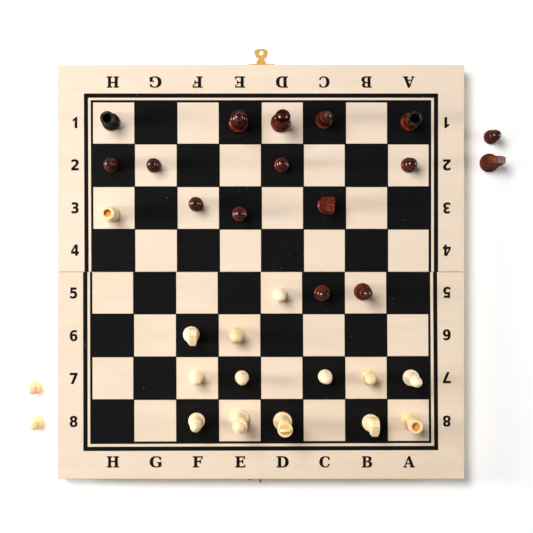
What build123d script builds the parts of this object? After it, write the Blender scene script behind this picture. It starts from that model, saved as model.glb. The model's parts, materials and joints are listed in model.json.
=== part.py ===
from build123d import *
import math
import os

# Folding chess set: a two-leaf wooden box-board that opens flat on its rims,
# with two butt hinges, a swing clasp with its catch, and 32 turned pieces.
# Millimetres, +Z up, +Y towards row 1 of the board, +X towards file A.
# The origin lies on the table, under the middle of the fold.

os.makedirs("parts", exist_ok=True)

# ---------------------------------------------------------------- driving sizes
SQUARE = 30.0            # one printed square
HALF_W = 144.3           # board half width, along X
HALF_D = 146.9           # outer face of each leaf, from the fold
FOLD_GAP = 0.125         # each fold face stands this far from the fold plane
AXIS_Z = 1.1             # fold axis height, and the hinge barrel's radius
RIM_Z = 1.15             # rim plane of the opened board
RAIL_H = 19.05           # rail height
PANEL_T = 3.0            # printed plywood panel
RAIL_T = 5.0             # rail thickness
PANEL_Z = RIM_Z + RAIL_H # underside of the panel
TOP_Z = PANEL_Z + PANEL_T

HINGE_X = 90.0           # hinge centres from the middle
HINGE_L = 24.0           # hinge length
KNUCKLE_R = 1.1          # hinge barrel
BORE_R = 0.55            # bore of every barrel
PIN_R = 0.5              # every pin
LEAF_T = 0.7             # hinge leaf thickness, let in flush with the rim
LEAF_IN = 0.8            # inner edge of a leaf at its own knuckles
LEAF_CLEAR = 1.5         # inner edge of a leaf beside the other leaf's knuckle
LEAF_OUT = 4.6           # outer edge of a leaf
HSCREW_Y = 3.0           # hinge screw line
HSCREW_X = 8.0           # hinge screws, from the hinge's middle
HSCREW_R = 0.6           # hinge screw shank
HSCREW_HEAD = 1.25       # hinge screw countersunk head
HSCREW_END = 8.4         # top of the hinge screws

CLASP_Z = 2.8            # clasp barrel axis height
CLASP_X = 0.6            # the clasp sits this far right of the middle
CLASP_OFF = 2.4          # clasp barrel axis from the outer wall
CLASP_R = 1.2            # clasp barrel radius
CLASP_TILT = 10.9        # the flap lies this far below level, its tip on the table
FLAP_T = 0.9             # flap thickness
FLAP_HOLE_S = 9.3        # flap hole centre from the barrel axis
FLAP_HOLE_R = 1.85
PLATE_T = 0.8            # clasp and catch plates
PLATE_W = 20.6
CLASP_PLATE_H = 7.8
CLASP_PLATE_Z = 5.6      # clasp plate centre height
CATCH_PLATE_H = 6.0
CATCH_Z = 2.0 * AXIS_Z - (CLASP_Z - FLAP_HOLE_S)   # stud height that meets the closed flap
CSCREW_X = 8.5           # clasp and catch screws from the middle
CSCREW_R = 0.9
CSCREW_HEAD_R = 1.55
STUD_R = 0.85
STUD_REACH = 5.4         # stud tip from the outer wall

# ------------------------------------------------------------- turned profiles
# (radius, height) from the base up: "L" is a straight step, "A" an arc through
# its first point to its second, "S" the ball on top: the radius where it starts,
# its centre's height and its own radius. The foot is flat and stands on the board.
PAWN = [("L", 4.8, 0), ("A", 5.1, 0.25, 5.2, 0.8), ("L", 5.2, 2.4), ("A", 5.05, 3.1, 4.6, 3.5),
        ("L", 4.3, 3.8), ("A", 4.25, 4.3, 4.1, 4.7), ("A", 3.2, 9.0, 2.8, 13.6),
        ("L", 2.8, 14.5), ("A", 3.6, 14.8, 4.1, 15.5), ("A", 3.5, 16.2, 2.3, 16.5),
        ("S", 2.1, 19.7, 3.3)]
ROOK = [("L", 5.6, 0), ("A", 5.9, 0.3, 6.0, 0.9), ("L", 6.0, 3.0), ("A", 5.8, 3.9, 5.1, 4.3),
        ("L", 4.9, 4.7), ("A", 4.85, 5.3, 4.7, 5.7), ("A", 3.95, 11.0, 3.6, 18.0),
        ("L", 3.6, 18.7), ("A", 4.2, 18.95, 4.6, 19.5), ("A", 4.2, 20.05, 3.7, 20.3),
        ("L", 3.7, 21.0), ("A", 4.0, 22.3, 4.8, 23.0), ("L", 4.8, 27.4), ("A", 4.68, 27.85, 4.3, 28.0)]
BISHOP = [("L", 5.55, 0), ("A", 5.85, 0.3, 5.95, 0.9), ("L", 5.95, 2.9), ("A", 5.75, 3.8, 5.05, 4.2),
          ("L", 4.75, 4.5), ("A", 4.7, 5.1, 4.5, 5.5), ("A", 3.4, 12.5, 2.9, 21.5),
          ("L", 2.9, 23.0), ("A", 3.7, 23.3, 4.2, 24.0), ("A", 3.7, 24.7, 2.9, 25.0),
          ("L", 2.6, 25.8), ("A", 3.75, 29.4, 3.0, 33.4), ("A", 2.25, 35.0, 1.35, 35.8),
          ("S", 1.3, 36.8, 1.55)]
QUEEN = [("L", 6.3, 0), ("A", 6.75, 0.3, 6.9, 0.95), ("L", 6.9, 3.2), ("A", 6.7, 4.2, 5.9, 4.7),
         ("L", 5.5, 5.0), ("A", 5.45, 5.7, 5.3, 6.1), ("A", 4.0, 14.0, 3.5, 25.0),
         ("L", 3.5, 27.4), ("A", 4.3, 27.7, 4.8, 28.5), ("A", 4.3, 29.3, 3.6, 29.6),
         ("L", 3.6, 30.4), ("A", 4.0, 34.8, 5.3, 38.0), ("L", 5.35, 38.8), ("A", 5.2, 39.2, 4.8, 39.3),
         ("L", 4.2, 39.0), ("A", 3.5, 39.7, 2.5, 40.1), ("S", 2.3, 43.0, 3.4)]
KING = [("L", 6.15, 0), ("A", 6.55, 0.3, 6.7, 0.95), ("L", 6.7, 3.4), ("A", 6.5, 4.4, 5.75, 4.9),
        ("L", 5.4, 5.2), ("A", 5.35, 5.9, 5.2, 6.3), ("A", 4.1, 14.5, 3.6, 26.0),
        ("L", 3.6, 28.0), ("A", 4.4, 28.3, 4.9, 29.2), ("A", 4.4, 30.1, 3.7, 30.4),
        ("L", 3.7, 31.2), ("A", 4.1, 35.8, 5.2, 39.2), ("L", 5.25, 41.7), ("A", 5.1, 42.2, 4.7, 42.4),
        ("L", 3.5, 42.4), ("S", 3.5, 44.0, 3.7)]
KNIGHT_FOOT = [("L", 5.7, 0), ("A", 6.0, 0.3, 6.1, 0.9), ("L", 6.1, 3.0), ("A", 5.95, 3.8, 5.4, 4.2),
               ("L", 5.0, 4.5), ("L", 5.0, 6.4), ("L", 0, 6.4)]
KING_FINIAL_R = 3.8      # the finial stands inside the crown's rim
KING_FINIAL_Z = 42.4
KNIGHT_SIDE = [(-4.6, 5.4), (-5.2, 9.0), (-5.6, 14.0), (-5.7, 19.5), (-5.1, 24.0), (-4.1, 26.3),
               (-1.7, 27.7), (-1.0, 29.2), (-0.3, 28.0), (0.9, 27.5), (3.4, 25.8), (6.2, 23.5),
               (6.8, 22.2), (6.5, 20.6), (5.5, 19.5), (4.2, 18.8), (3.7, 17.2), (3.9, 13.0),
               (4.3, 9.0), (4.6, 5.4)]


def knight_front(k, kz, lean):
    """Head-on outline: one flank nearly upright, the other a long slope down to the shoulder."""
    return [(-4.6 * k, 5.0 * kz), (4.6 * k, 5.0 * kz), (4.4 * k, 8.0 * kz), (lean + 2.75, 15.0 * kz),
            (lean + 2.6, 30.5 * kz), (lean - 2.6, 30.5 * kz), (lean - 2.65, 25.0 * kz), (-4.4 * k, 9.5 * kz)]


def knight_plan(k, lean):
    """Plan outline, muzzle forward."""
    return [(-6.3 * k, -2.5), (-4.6 * k, -5.2 * k), (-1.0, -6.0 * k), (2.0 * k, -5.3 * k), (4.8 * k, lean - 3.6),
            (7.0 * k, lean - 1.7), (7.0 * k, lean + 1.7), (3.0 * k, lean + 2.9), (0, 5.9 * k), (-4.6 * k, 5.2 * k),
            (-6.3 * k, 2.5)]


# name, profile, x, y, foot height, radius factor, height factor, turn, lean or fin
# turn: direction a knight faces, degrees from +X. The last number is a knight head's
# sideways set, the radius of a rook's bore, or the thickness of a king's fin.
PIECES = [
    ("dark_rook_h1", "rook", -106.25, 106.3, TOP_Z, 1.03, 1.0, 0, 3.1),
    ("dark_queen_e1", "queen", -15.7, 105.6, TOP_Z, 0.99, 1.0, 0, 0),
    ("dark_king_d1", "king", 13.7, 105.7, TOP_Z, 1.01, 1.0, 0, 3.4),
    ("dark_bishop_c1", "bishop", 44.55, 107.3, TOP_Z, 1.0, 1.0, 0, 0),
    ("dark_rook_a1", "rook", 104.95, 106.05, TOP_Z, 1.03, 1.04, 0, 3.2),
    ("dark_pawn_h2", "pawn", -106, 75.7, TOP_Z, 0.98, 1.0, 0, 0),
    ("dark_pawn_g2", "pawn", -75.95, 75.5, TOP_Z, 0.97, 1.0, 0, 0),
    ("dark_pawn_d2", "pawn", 14.65, 75.8, TOP_Z, 0.99, 1.0, 0, 0),
    ("dark_pawn_a2", "pawn", 104.45, 75.7, TOP_Z, 1.01, 1.03, 0, 0),
    ("dark_pawn_f3", "pawn", -46.15, 48.1, TOP_Z, 0.97, 1.0, 0, 0),
    ("dark_pawn_e3", "pawn", -15.15, 41, TOP_Z, 1.0, 1.0, 0, 0),
    ("dark_pawn_c5", "pawn", 43.3, -14.9, TOP_Z, 1.09, 1.04, 0, 0),
    ("dark_knight_c3", "knight", 45.95, 47.1, TOP_Z, 0.99, 1.0, -90, 1.6),
    ("dark_bishop_b5", "bishop", 71.85, -13.8, TOP_Z, 1.0, 1.0, 0, 0),
    ("dark_pawn_captured", "pawn", 167.75, 97.4, 0.0, 0.99, 1.05, 0, 0),
    ("dark_knight_captured", "knight", 166.3, 78.6, 0.0, 1.1, 1.02, 0, 0.8),
    ("light_rook_h3", "rook", -106, 41.1, TOP_Z, 0.97, 1.0, 0, 2.6),
    ("light_rook_a8", "rook", 105.65, -105.5, TOP_Z, 1.02, 1.04, 0, 2.7),
    ("light_knight_f6", "knight", -49.25, -44.3, TOP_Z, 0.95, 0.97, -90, 1.7),
    ("light_knight_b8", "knight", 77.65, -106.7, TOP_Z, 0.99, 1.0, -90, 0.8),
    ("light_bishop_f8", "bishop", -45.45, -105.4, TOP_Z, 0.97, 1.0, 0, 0),
    ("light_bishop_a7", "bishop", 106.15, -74.8, TOP_Z, 0.95, 1.0, 0, 0),
    ("light_queen_e8", "queen", -15.35, -103.9, TOP_Z, 0.98, 1.0, 0, 0),
    ("light_king_d8", "king", 15.35, -105.6, TOP_Z, 0.98, 1.0, 0, 1.7),
    ("light_pawn_d5", "pawn", 13.55, -16.3, TOP_Z, 0.96, 1.0, 0, 0),
    ("light_pawn_e6", "pawn", -17.9, -44.5, TOP_Z, 1.13, 1.08, 0, 0),
    ("light_pawn_f7", "pawn", -45.35, -74.4, TOP_Z, 1.01, 1.03, 0, 0),
    ("light_pawn_e7", "pawn", -13.45, -74.7, TOP_Z, 0.94, 1.0, 0, 0),
    ("light_pawn_c7", "pawn", 45.45, -74, TOP_Z, 0.95, 1.0, 0, 0),
    ("light_pawn_b7", "pawn", 76.25, -74.5, TOP_Z, 0.96, 1.0, 0, 0),
    ("light_pawn_captured_1", "pawn", -163.5, -84.05, 0.0, 0.99, 1.0, 0, 0),
    ("light_pawn_captured_2", "pawn", -162.1, -109.6, 0.0, 0.99, 1.0, 0, 0),
]
PROFILES = {"pawn": PAWN, "rook": ROOK, "bishop": BISHOP, "queen": QUEEN, "king": KING,
            "knight": KNIGHT_FOOT}


def save(name, part):
    part.label = name
    export_step(part, "parts/" + name + ".step")


def side_plane(x, y, z):
    # local X is world X, local Y is world Z
    return Plane(origin=(x, y, z), x_dir=(1, 0, 0), z_dir=(0, -1, 0))


def cross_plane(x):
    # section across the board: local X is world Y, local Y is world Z
    return Plane(origin=(x, 0, 0), x_dir=(0, 1, 0), z_dir=(1, 0, 0))


def draw_profile(steps, k, kz):
    here = (0.0, 0.0)
    for s in steps:
        if s[0] == "L":
            there = (s[1] * k, s[2] * kz)
            Line(here, there)
        elif s[0] == "S":
            r, rise = s[3] * k, math.sqrt((s[3] * k) ** 2 - (s[1] * k) ** 2)
            Line(here, (s[1] * k, s[2] * kz - rise))
            low = -math.degrees(math.asin(rise / r))
            CenterArc((0, s[2] * kz), r, low, 90 - low)
            there = (0.0, s[2] * kz + r)
        else:
            there = (s[3] * k, s[4] * kz)
            ThreePointArc(here, (s[1] * k, s[2] * kz), there)
        here = there
    Line(here, (0.0, 0.0))


# ------------------------------------------------------------------- the board
for s, leaf in ((1, "far"), (-1, "near")):
    y_fold = s * FOLD_GAP
    y_out = s * HALF_D
    y_mid = (y_fold + y_out) / 2
    depth = HALF_D - FOLD_GAP

    # printed plywood panel, laid over the rails, its three free top edges eased
    with BuildPart() as panel:
        with BuildSketch(Plane.XY.offset(PANEL_Z)):
            with Locations((0, y_mid)):
                Rectangle(2 * HALF_W, depth)
        extrude(amount=PANEL_T)
        top = panel.edges().group_by(Axis.Z)[-1]
        free = [e for e in top if abs(e.center().Y - y_fold) > 0.01]
        fillet(free, radius=0.5)
    save(leaf + "_panel", panel.part)

    # fold rail, with the hinge leaves' mortises, the knuckle notches and pilot holes
    with BuildPart() as fold_rail:
        with BuildSketch(Plane.XY.offset(RIM_Z)):
            with Locations((0, y_fold + s * RAIL_T / 2)):
                Rectangle(2 * HALF_W, RAIL_T)
        extrude(amount=RAIL_H)
        for hx in (-HINGE_X, HINGE_X):
            with BuildSketch(Plane.XY.offset(RIM_Z)):
                with Locations((hx, s * (LEAF_OUT + 0.1) / 2)):
                    Rectangle(HINGE_L + 0.2, LEAF_OUT + 0.1)
            extrude(amount=LEAF_T, mode=Mode.SUBTRACT)
            with BuildSketch(cross_plane(hx - HINGE_L / 2 - 0.7)):
                with Locations((0, AXIS_Z)):
                    Circle(KNUCKLE_R + 0.35)
            extrude(amount=HINGE_L + 1.4, mode=Mode.SUBTRACT)
            with BuildSketch(Plane.XY.offset(RIM_Z)):
                with Locations((hx - HSCREW_X, s * HSCREW_Y), (hx + HSCREW_X, s * HSCREW_Y)):
                    Circle(HSCREW_R)
            extrude(amount=HSCREW_END - RIM_Z, mode=Mode.SUBTRACT)
    save(leaf + "_rail_fold", fold_rail.part)

    # outer rail, drilled for the clasp's or the catch's screws
    screw_z, screw_mid = (CLASP_PLATE_Z, CLASP_X) if s > 0 else (CATCH_Z, 0)
    with BuildPart() as outer_rail:
        with BuildSketch(Plane.XY.offset(RIM_Z)):
            with Locations((0, y_out - s * RAIL_T / 2)):
                Rectangle(2 * HALF_W, RAIL_T)
        extrude(amount=RAIL_H)
        with BuildSketch(side_plane(0, y_out, 0)):
            with Locations((screw_mid - CSCREW_X, screw_z), (screw_mid + CSCREW_X, screw_z)):
                Circle(CSCREW_R)
        extrude(amount=4.2 * s, mode=Mode.SUBTRACT)
    save(leaf + "_rail_outer", outer_rail.part)

    # side rails, butted between the fold rail and the outer rail
    side_len = depth - 2 * RAIL_T
    for sx, side in ((-1, "left"), (1, "right")):
        with BuildPart() as side_rail:
            with BuildSketch(Plane.XY.offset(RIM_Z)):
                with Locations((sx * (HALF_W - RAIL_T / 2), y_mid)):
                    Rectangle(RAIL_T, side_len)
            extrude(amount=RAIL_H)
        save(leaf + "_rail_" + side, side_rail.part)

# ------------------------------------------------------------------ the hinges
third = HINGE_L / 3
for hx, place in ((-HINGE_X, "left"), (HINGE_X, "right")):
    for s, leaf in ((1, "far"), (-1, "near")):
        if s > 0:
            spans = [(-HINGE_L / 2, -third / 2 - 0.1), (third / 2 + 0.1, HINGE_L / 2)]
        else:
            spans = [(-third / 2 + 0.1, third / 2 - 0.1)]
        with BuildPart() as hinge_leaf:
            with BuildSketch(Plane.XY.offset(RIM_Z)):
                with Locations((hx, s * (LEAF_CLEAR + LEAF_OUT) / 2)):
                    Rectangle(HINGE_L, LEAF_OUT - LEAF_CLEAR)
            extrude(amount=LEAF_T)
            for a, b in spans:
                with BuildSketch(Plane.XY.offset(RIM_Z)):
                    with Locations((hx + (a + b) / 2, s * (LEAF_IN + LEAF_CLEAR + 0.2) / 2)):
                        Rectangle(b - a, LEAF_CLEAR + 0.2 - LEAF_IN)
                extrude(amount=LEAF_T)
                with BuildSketch(cross_plane(hx + a)):
                    with Locations((0, AXIS_Z)):
                        Circle(KNUCKLE_R)
                extrude(amount=b - a)
            with BuildSketch(cross_plane(hx - HINGE_L / 2 - 1)):
                with Locations((0, AXIS_Z)):
                    Circle(BORE_R)
            extrude(amount=HINGE_L + 2, mode=Mode.SUBTRACT)
            for dx in (-HSCREW_X, HSCREW_X):
                with BuildSketch(side_plane(hx + dx, s * HSCREW_Y, RIM_Z)):
                    with BuildLine():
                        Polyline((0, 0), (HSCREW_HEAD, 0), (HSCREW_R, LEAF_T), (0, LEAF_T), close=True)
                    make_face()
                revolve(axis=Axis((hx + dx, s * HSCREW_Y, 0), (0, 0, 1)), mode=Mode.SUBTRACT)
        save("hinge_" + place + "_leaf_" + leaf, hinge_leaf.part)

    # hinge pin, peened at both ends
    with BuildPart() as hinge_pin:
        with BuildSketch(cross_plane(hx - HINGE_L / 2)):
            with Locations((0, AXIS_Z)):
                Circle(PIN_R)
        extrude(amount=HINGE_L)
        for end in (hx - HINGE_L / 2 - 0.4, hx + HINGE_L / 2):
            with BuildSketch(cross_plane(end)):
                with Locations((0, AXIS_Z)):
                    Circle(0.85)
            extrude(amount=0.4)
    save("hinge_" + place + "_pin", hinge_pin.part)

# countersunk hinge screws, slotted, as one group for each leaf of the board
for s, leaf in ((1, "far"), (-1, "near")):
    with BuildPart() as hinge_screws:
        for hx in (-HINGE_X, HINGE_X):
            for dx in (-HSCREW_X, HSCREW_X):
                x, y = hx + dx, s * HSCREW_Y
                with BuildSketch(side_plane(x, y, RIM_Z)):
                    with BuildLine():
                        Polyline((0, 0), (HSCREW_HEAD, 0), (HSCREW_R, LEAF_T),
                                 (HSCREW_R, HSCREW_END - RIM_Z - 1.2), (0, HSCREW_END - RIM_Z - 0.1),
                                 close=True)
                    make_face()
                revolve(axis=Axis((x, y, 0), (0, 0, 1)))
                with BuildSketch(Plane.XY.offset(RIM_Z)):
                    with Locations((x, y)):
                        Rectangle(2.6, 0.3)
                extrude(amount=0.3, mode=Mode.SUBTRACT)
    save("hinge_screws_" + leaf, hinge_screws.part)

# ------------------------------------------------------------------- the clasp
clasp_y = HALF_D + CLASP_OFF
clasp_axis = (clasp_y, CLASP_Z)

with BuildPart() as clasp_plate:
    with BuildSketch(side_plane(0, HALF_D, 0)):
        with Locations((0, CLASP_PLATE_Z)):
            RectangleRounded(PLATE_W, CLASP_PLATE_H, 1.6)
    extrude(amount=-PLATE_T)
    for a, b in ((-6.8, -3.4), (3.4, 6.8)):
        with BuildSketch(cross_plane(a)):
            with Locations(clasp_axis):
                Circle(CLASP_R)
            with BuildLine():
                Polyline((HALF_D + 0.3, CLASP_Z + 0.6), (clasp_y, CLASP_Z + 0.6),
                         (clasp_y, CLASP_Z + CLASP_R), (HALF_D + 0.3, CLASP_Z + CLASP_R + 0.5), close=True)
            make_face()
        extrude(amount=b - a)
    with BuildSketch(cross_plane(-8)):
        with Locations(clasp_axis):
            Circle(BORE_R)
    extrude(amount=16, mode=Mode.SUBTRACT)
    with BuildSketch(side_plane(0, HALF_D + 0.001, 0)):
        with Locations((-CSCREW_X, CLASP_PLATE_Z), (CSCREW_X, CLASP_PLATE_Z)):
            Circle(CSCREW_R)
    extrude(amount=-PLATE_T - 0.1, both=True, mode=Mode.SUBTRACT)
save("clasp_plate", Pos(CLASP_X, 0, 0) * clasp_plate.part)

with BuildPart() as clasp_pin:
    with BuildSketch(cross_plane(-6.8)):
        with Locations(clasp_axis):
            Circle(PIN_R)
    extrude(amount=13.6)
    for end in (-7.2, 6.8):
        with BuildSketch(cross_plane(end)):
            with Locations(clasp_axis):
                Circle(0.85)
        extrude(amount=0.4)
save("clasp_pin", Pos(CLASP_X, 0, 0) * clasp_pin.part)

# flap: a keyhole-shaped plate on a rolled knuckle, its tip resting on the table
t = math.radians(CLASP_TILT)
flap_plane = Plane(origin=(0, clasp_y, CLASP_Z), x_dir=(1, 0, 0), z_dir=(0, math.sin(t), math.cos(t)))
with BuildPart() as clasp_flap:
    with BuildSketch(cross_plane(-3.2)):
        with Locations(clasp_axis):
            Circle(CLASP_R)
    extrude(amount=6.4)
    with BuildSketch(flap_plane):
        with BuildLine():
            Line((-3.2, 0.7), (3.2, 0.7))
            Line((3.2, 0.7), (3.2, 3.4))
            ThreePointArc((3.2, 3.4), (1.75, 4.65), (3.3, 5.9))
            Spline((3.3, 5.9), (3.85, 6.9), (4.3, 8.3), (4.8, 9.6), (4.75, 10.6), (3.9, 11.7), (2.2, 12.25), (0, 12.42))
            Spline((0, 12.42), (-2.2, 12.25), (-3.9, 11.7), (-4.75, 10.6), (-4.8, 9.6), (-4.3, 8.3), (-3.85, 6.9), (-3.3, 5.9))
            ThreePointArc((-3.3, 5.9), (-1.75, 4.65), (-3.2, 3.4))
            Line((-3.2, 3.4), (-3.2, 0.7))
        make_face()
        with Locations((0, FLAP_HOLE_S)):
            Circle(FLAP_HOLE_R, mode=Mode.SUBTRACT)
    extrude(amount=FLAP_T / 2, both=True)
    with BuildSketch(cross_plane(-4)):
        with Locations(clasp_axis):
            Circle(BORE_R)
    extrude(amount=8, mode=Mode.SUBTRACT)
save("clasp_flap", Pos(CLASP_X, 0, 0) * clasp_flap.part)

# catch plate and its riveted stud on the near leaf
with BuildPart() as catch_plate:
    with BuildSketch(side_plane(0, -HALF_D, 0)):
        with Locations((0, CATCH_Z)):
            RectangleRounded(PLATE_W, CATCH_PLATE_H, 1.6)
        with Locations((-CSCREW_X, CATCH_Z), (CSCREW_X, CATCH_Z)):
            Circle(CSCREW_R, mode=Mode.SUBTRACT)
        with Locations((0, CATCH_Z)):
            Circle(0.6, mode=Mode.SUBTRACT)
    extrude(amount=PLATE_T)
save("catch_plate", catch_plate.part)

stud_plane = Plane(origin=(0, -HALF_D, CATCH_Z), x_dir=(1, 0, 0), z_dir=(0, 0, 1))
with BuildPart() as catch_stud:
    with BuildSketch(stud_plane):
        with BuildLine():
            Polyline((0, 0), (0.6, 0), (0.6, -PLATE_T), (1.6, -PLATE_T), (1.6, -PLATE_T - 0.4),
                     (STUD_R, -PLATE_T - 0.7), (STUD_R, -STUD_REACH + STUD_R))
            CenterArc((0, -STUD_REACH + STUD_R), STUD_R, 0, -90)
            Line((0, -STUD_REACH), (0, 0))
        make_face()
    revolve(axis=Axis((0, -HALF_D, CATCH_Z), (0, -1, 0)))
save("catch_stud", catch_stud.part)

# round-headed screws: the proud ones were not driven fully home
for name, s, z, proud in (("clasp_screws", 1, CLASP_PLATE_Z, (2.9, 3.1)),
                          ("catch_screws", -1, CATCH_Z, (4.0, 2.7))):
    with BuildPart() as wood_screws:
        middle = CLASP_X if s > 0 else 0
        for x, reach in zip((middle - CSCREW_X, middle + CSCREW_X), proud):
            y0 = s * HALF_D
            with BuildSketch(Plane(origin=(x, y0, z), x_dir=(1, 0, 0), z_dir=(0, 0, s))):
                with BuildLine():
                    Polyline((0, -4.0), (CSCREW_R, -2.8), (CSCREW_R, reach - 1.7),
                             (CSCREW_HEAD_R, reach - 1.7), (CSCREW_HEAD_R, reach - 1.1))
                    ThreePointArc((CSCREW_HEAD_R, reach - 1.1), (1.1, reach - 0.3), (0, reach))
                    Line((0, reach), (0, -4.0))
                make_face()
            revolve(axis=Axis((x, y0, z), (0, 1, 0)))
            with BuildSketch(Plane(origin=(x, y0 + s * (reach - 0.7), z), x_dir=(1, 0, 0), z_dir=(0, s, 0))):
                Rectangle(3.4, 0.4)
            extrude(amount=1.0, mode=Mode.SUBTRACT)
    save(name, wood_screws.part)

# ------------------------------------------------------------------ the pieces
for name, kind, x, y, z, k, kz, turn, extra in PIECES:
    if kind == "knight":
        # head and neck: side outline sawn through, then its flanks tapered
        a = math.radians(turn)
        fwd = (math.cos(a), math.sin(a), 0)
        left = (-math.sin(a), math.cos(a), 0)
        right = (math.sin(a), -math.cos(a), 0)
        # extra sets the head towards +X on a knight that faces -Y, and towards +Y on one that faces +X
        with BuildPart() as head:
            with BuildSketch(Plane(origin=(x, y, z), x_dir=fwd, z_dir=right)):
                with BuildLine():
                    Polyline(*[(p * k, q * kz) for p, q in KNIGHT_SIDE], close=True)
                make_face()
            extrude(amount=7, both=True)
            with BuildSketch(Plane(origin=(x, y, z), x_dir=left, z_dir=fwd)):
                with BuildLine():
                    Polyline(*knight_front(k, kz, extra), close=True)
                make_face()
            extrude(amount=12, both=True, mode=Mode.INTERSECT)
            with BuildSketch(Plane(origin=(x, y, z), x_dir=fwd, z_dir=(0, 0, 1))):
                with BuildLine():
                    Polyline(*knight_plan(k, extra), close=True)
                make_face()
            extrude(amount=40, mode=Mode.INTERSECT)
    with BuildPart() as piece:
        with BuildSketch(side_plane(x, y, z)):
            with BuildLine():
                steps = PROFILES[kind]
                if kind == "rook":
                    steps = ROOK + [("L", extra / k, 28.0), ("L", extra / k, 24.0), ("L", 0, 23.2)]
                draw_profile(steps, k, kz)
            make_face()
        revolve(axis=Axis((x, y, z), (0, 0, 1)))
        if kind == "king":
            # two saw cuts leave an upright fin across the crown
            with BuildSketch(Plane(origin=(x, y, z + KING_FINIAL_Z * kz - 0.5))):
                Circle(KING_FINIAL_R * k)
                Rectangle(12, extra, mode=Mode.SUBTRACT)
            extrude(amount=8, mode=Mode.SUBTRACT)
        if kind == "knight":
            add(head.part)
    save(name, piece.part)
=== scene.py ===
import json
import math
import random

import bmesh
import bpy
from mathutils import Matrix, Vector

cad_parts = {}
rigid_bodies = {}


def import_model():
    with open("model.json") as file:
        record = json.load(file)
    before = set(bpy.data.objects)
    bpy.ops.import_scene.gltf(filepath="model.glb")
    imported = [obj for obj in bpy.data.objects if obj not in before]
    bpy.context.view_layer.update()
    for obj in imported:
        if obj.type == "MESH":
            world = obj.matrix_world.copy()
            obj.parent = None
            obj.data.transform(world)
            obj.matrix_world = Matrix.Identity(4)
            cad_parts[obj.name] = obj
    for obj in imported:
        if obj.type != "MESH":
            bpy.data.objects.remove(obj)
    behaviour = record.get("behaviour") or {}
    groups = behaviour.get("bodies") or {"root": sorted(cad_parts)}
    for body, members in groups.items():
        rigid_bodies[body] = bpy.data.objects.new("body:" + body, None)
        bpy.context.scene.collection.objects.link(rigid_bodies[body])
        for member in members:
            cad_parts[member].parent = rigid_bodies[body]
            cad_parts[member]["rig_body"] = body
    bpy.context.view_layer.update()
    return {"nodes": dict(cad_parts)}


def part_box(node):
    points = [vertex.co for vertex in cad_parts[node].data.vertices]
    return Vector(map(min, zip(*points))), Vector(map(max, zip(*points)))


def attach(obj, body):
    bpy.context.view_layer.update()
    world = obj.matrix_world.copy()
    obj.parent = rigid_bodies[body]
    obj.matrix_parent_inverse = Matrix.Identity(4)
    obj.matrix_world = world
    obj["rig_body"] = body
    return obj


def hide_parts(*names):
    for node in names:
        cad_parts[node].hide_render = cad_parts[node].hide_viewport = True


# Looks of the folding chess set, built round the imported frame. Lengths in this
# script are millimetres until MM turns them into Blender's metres.
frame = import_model()
MM = 0.001
random.seed(7)

NODES = frame["nodes"]
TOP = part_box("near_panel")[1].z / MM          # playing surface
HALF_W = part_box("near_panel")[1].x / MM       # half width of the board
HALF_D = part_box("far_panel")[1].y / MM        # outer edge of the far leaf

# turned profiles, as (radius, height) steps: line, arc or ball
PAWN = [("L", 4.8, 0), ("A", 5.1, 0.25, 5.2, 0.8), ("L", 5.2, 2.4), ("A", 5.05, 3.1, 4.6, 3.5),
        ("L", 4.3, 3.8), ("A", 4.25, 4.3, 4.1, 4.7), ("A", 3.2, 9.0, 2.8, 13.6),
        ("L", 2.8, 14.5), ("A", 3.6, 14.8, 4.1, 15.5), ("A", 3.5, 16.2, 2.3, 16.5),
        ("S", 2.1, 19.7, 3.3)]
ROOK = [("L", 5.6, 0), ("A", 5.9, 0.3, 6.0, 0.9), ("L", 6.0, 3.0), ("A", 5.8, 3.9, 5.1, 4.3),
        ("L", 4.9, 4.7), ("A", 4.85, 5.3, 4.7, 5.7), ("A", 3.95, 11.0, 3.6, 18.0),
        ("L", 3.6, 18.7), ("A", 4.2, 18.95, 4.6, 19.5), ("A", 4.2, 20.05, 3.7, 20.3),
        ("L", 3.7, 21.0), ("A", 4.0, 22.3, 4.8, 23.0), ("L", 4.8, 27.4), ("A", 4.68, 27.85, 4.3, 28.0)]
BISHOP = [("L", 5.55, 0), ("A", 5.85, 0.3, 5.95, 0.9), ("L", 5.95, 2.9), ("A", 5.75, 3.8, 5.05, 4.2),
          ("L", 4.75, 4.5), ("A", 4.7, 5.1, 4.5, 5.5), ("A", 3.4, 12.5, 2.9, 21.5),
          ("L", 2.9, 23.0), ("A", 3.7, 23.3, 4.2, 24.0), ("A", 3.7, 24.7, 2.9, 25.0),
          ("L", 2.6, 25.8), ("A", 3.75, 29.4, 3.0, 33.4), ("A", 2.25, 35.0, 1.35, 35.8),
          ("S", 1.3, 36.8, 1.55)]
QUEEN = [("L", 6.3, 0), ("A", 6.75, 0.3, 6.9, 0.95), ("L", 6.9, 3.2), ("A", 6.7, 4.2, 5.9, 4.7),
         ("L", 5.5, 5.0), ("A", 5.45, 5.7, 5.3, 6.1), ("A", 4.0, 14.0, 3.5, 25.0),
         ("L", 3.5, 27.4), ("A", 4.3, 27.7, 4.8, 28.5), ("A", 4.3, 29.3, 3.6, 29.6),
         ("L", 3.6, 30.4), ("A", 4.0, 34.8, 5.3, 38.0), ("L", 5.35, 38.8), ("A", 5.2, 39.2, 4.8, 39.3),
         ("L", 4.2, 39.0), ("A", 3.5, 39.7, 2.5, 40.1), ("S", 2.3, 43.0, 3.4)]
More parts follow.
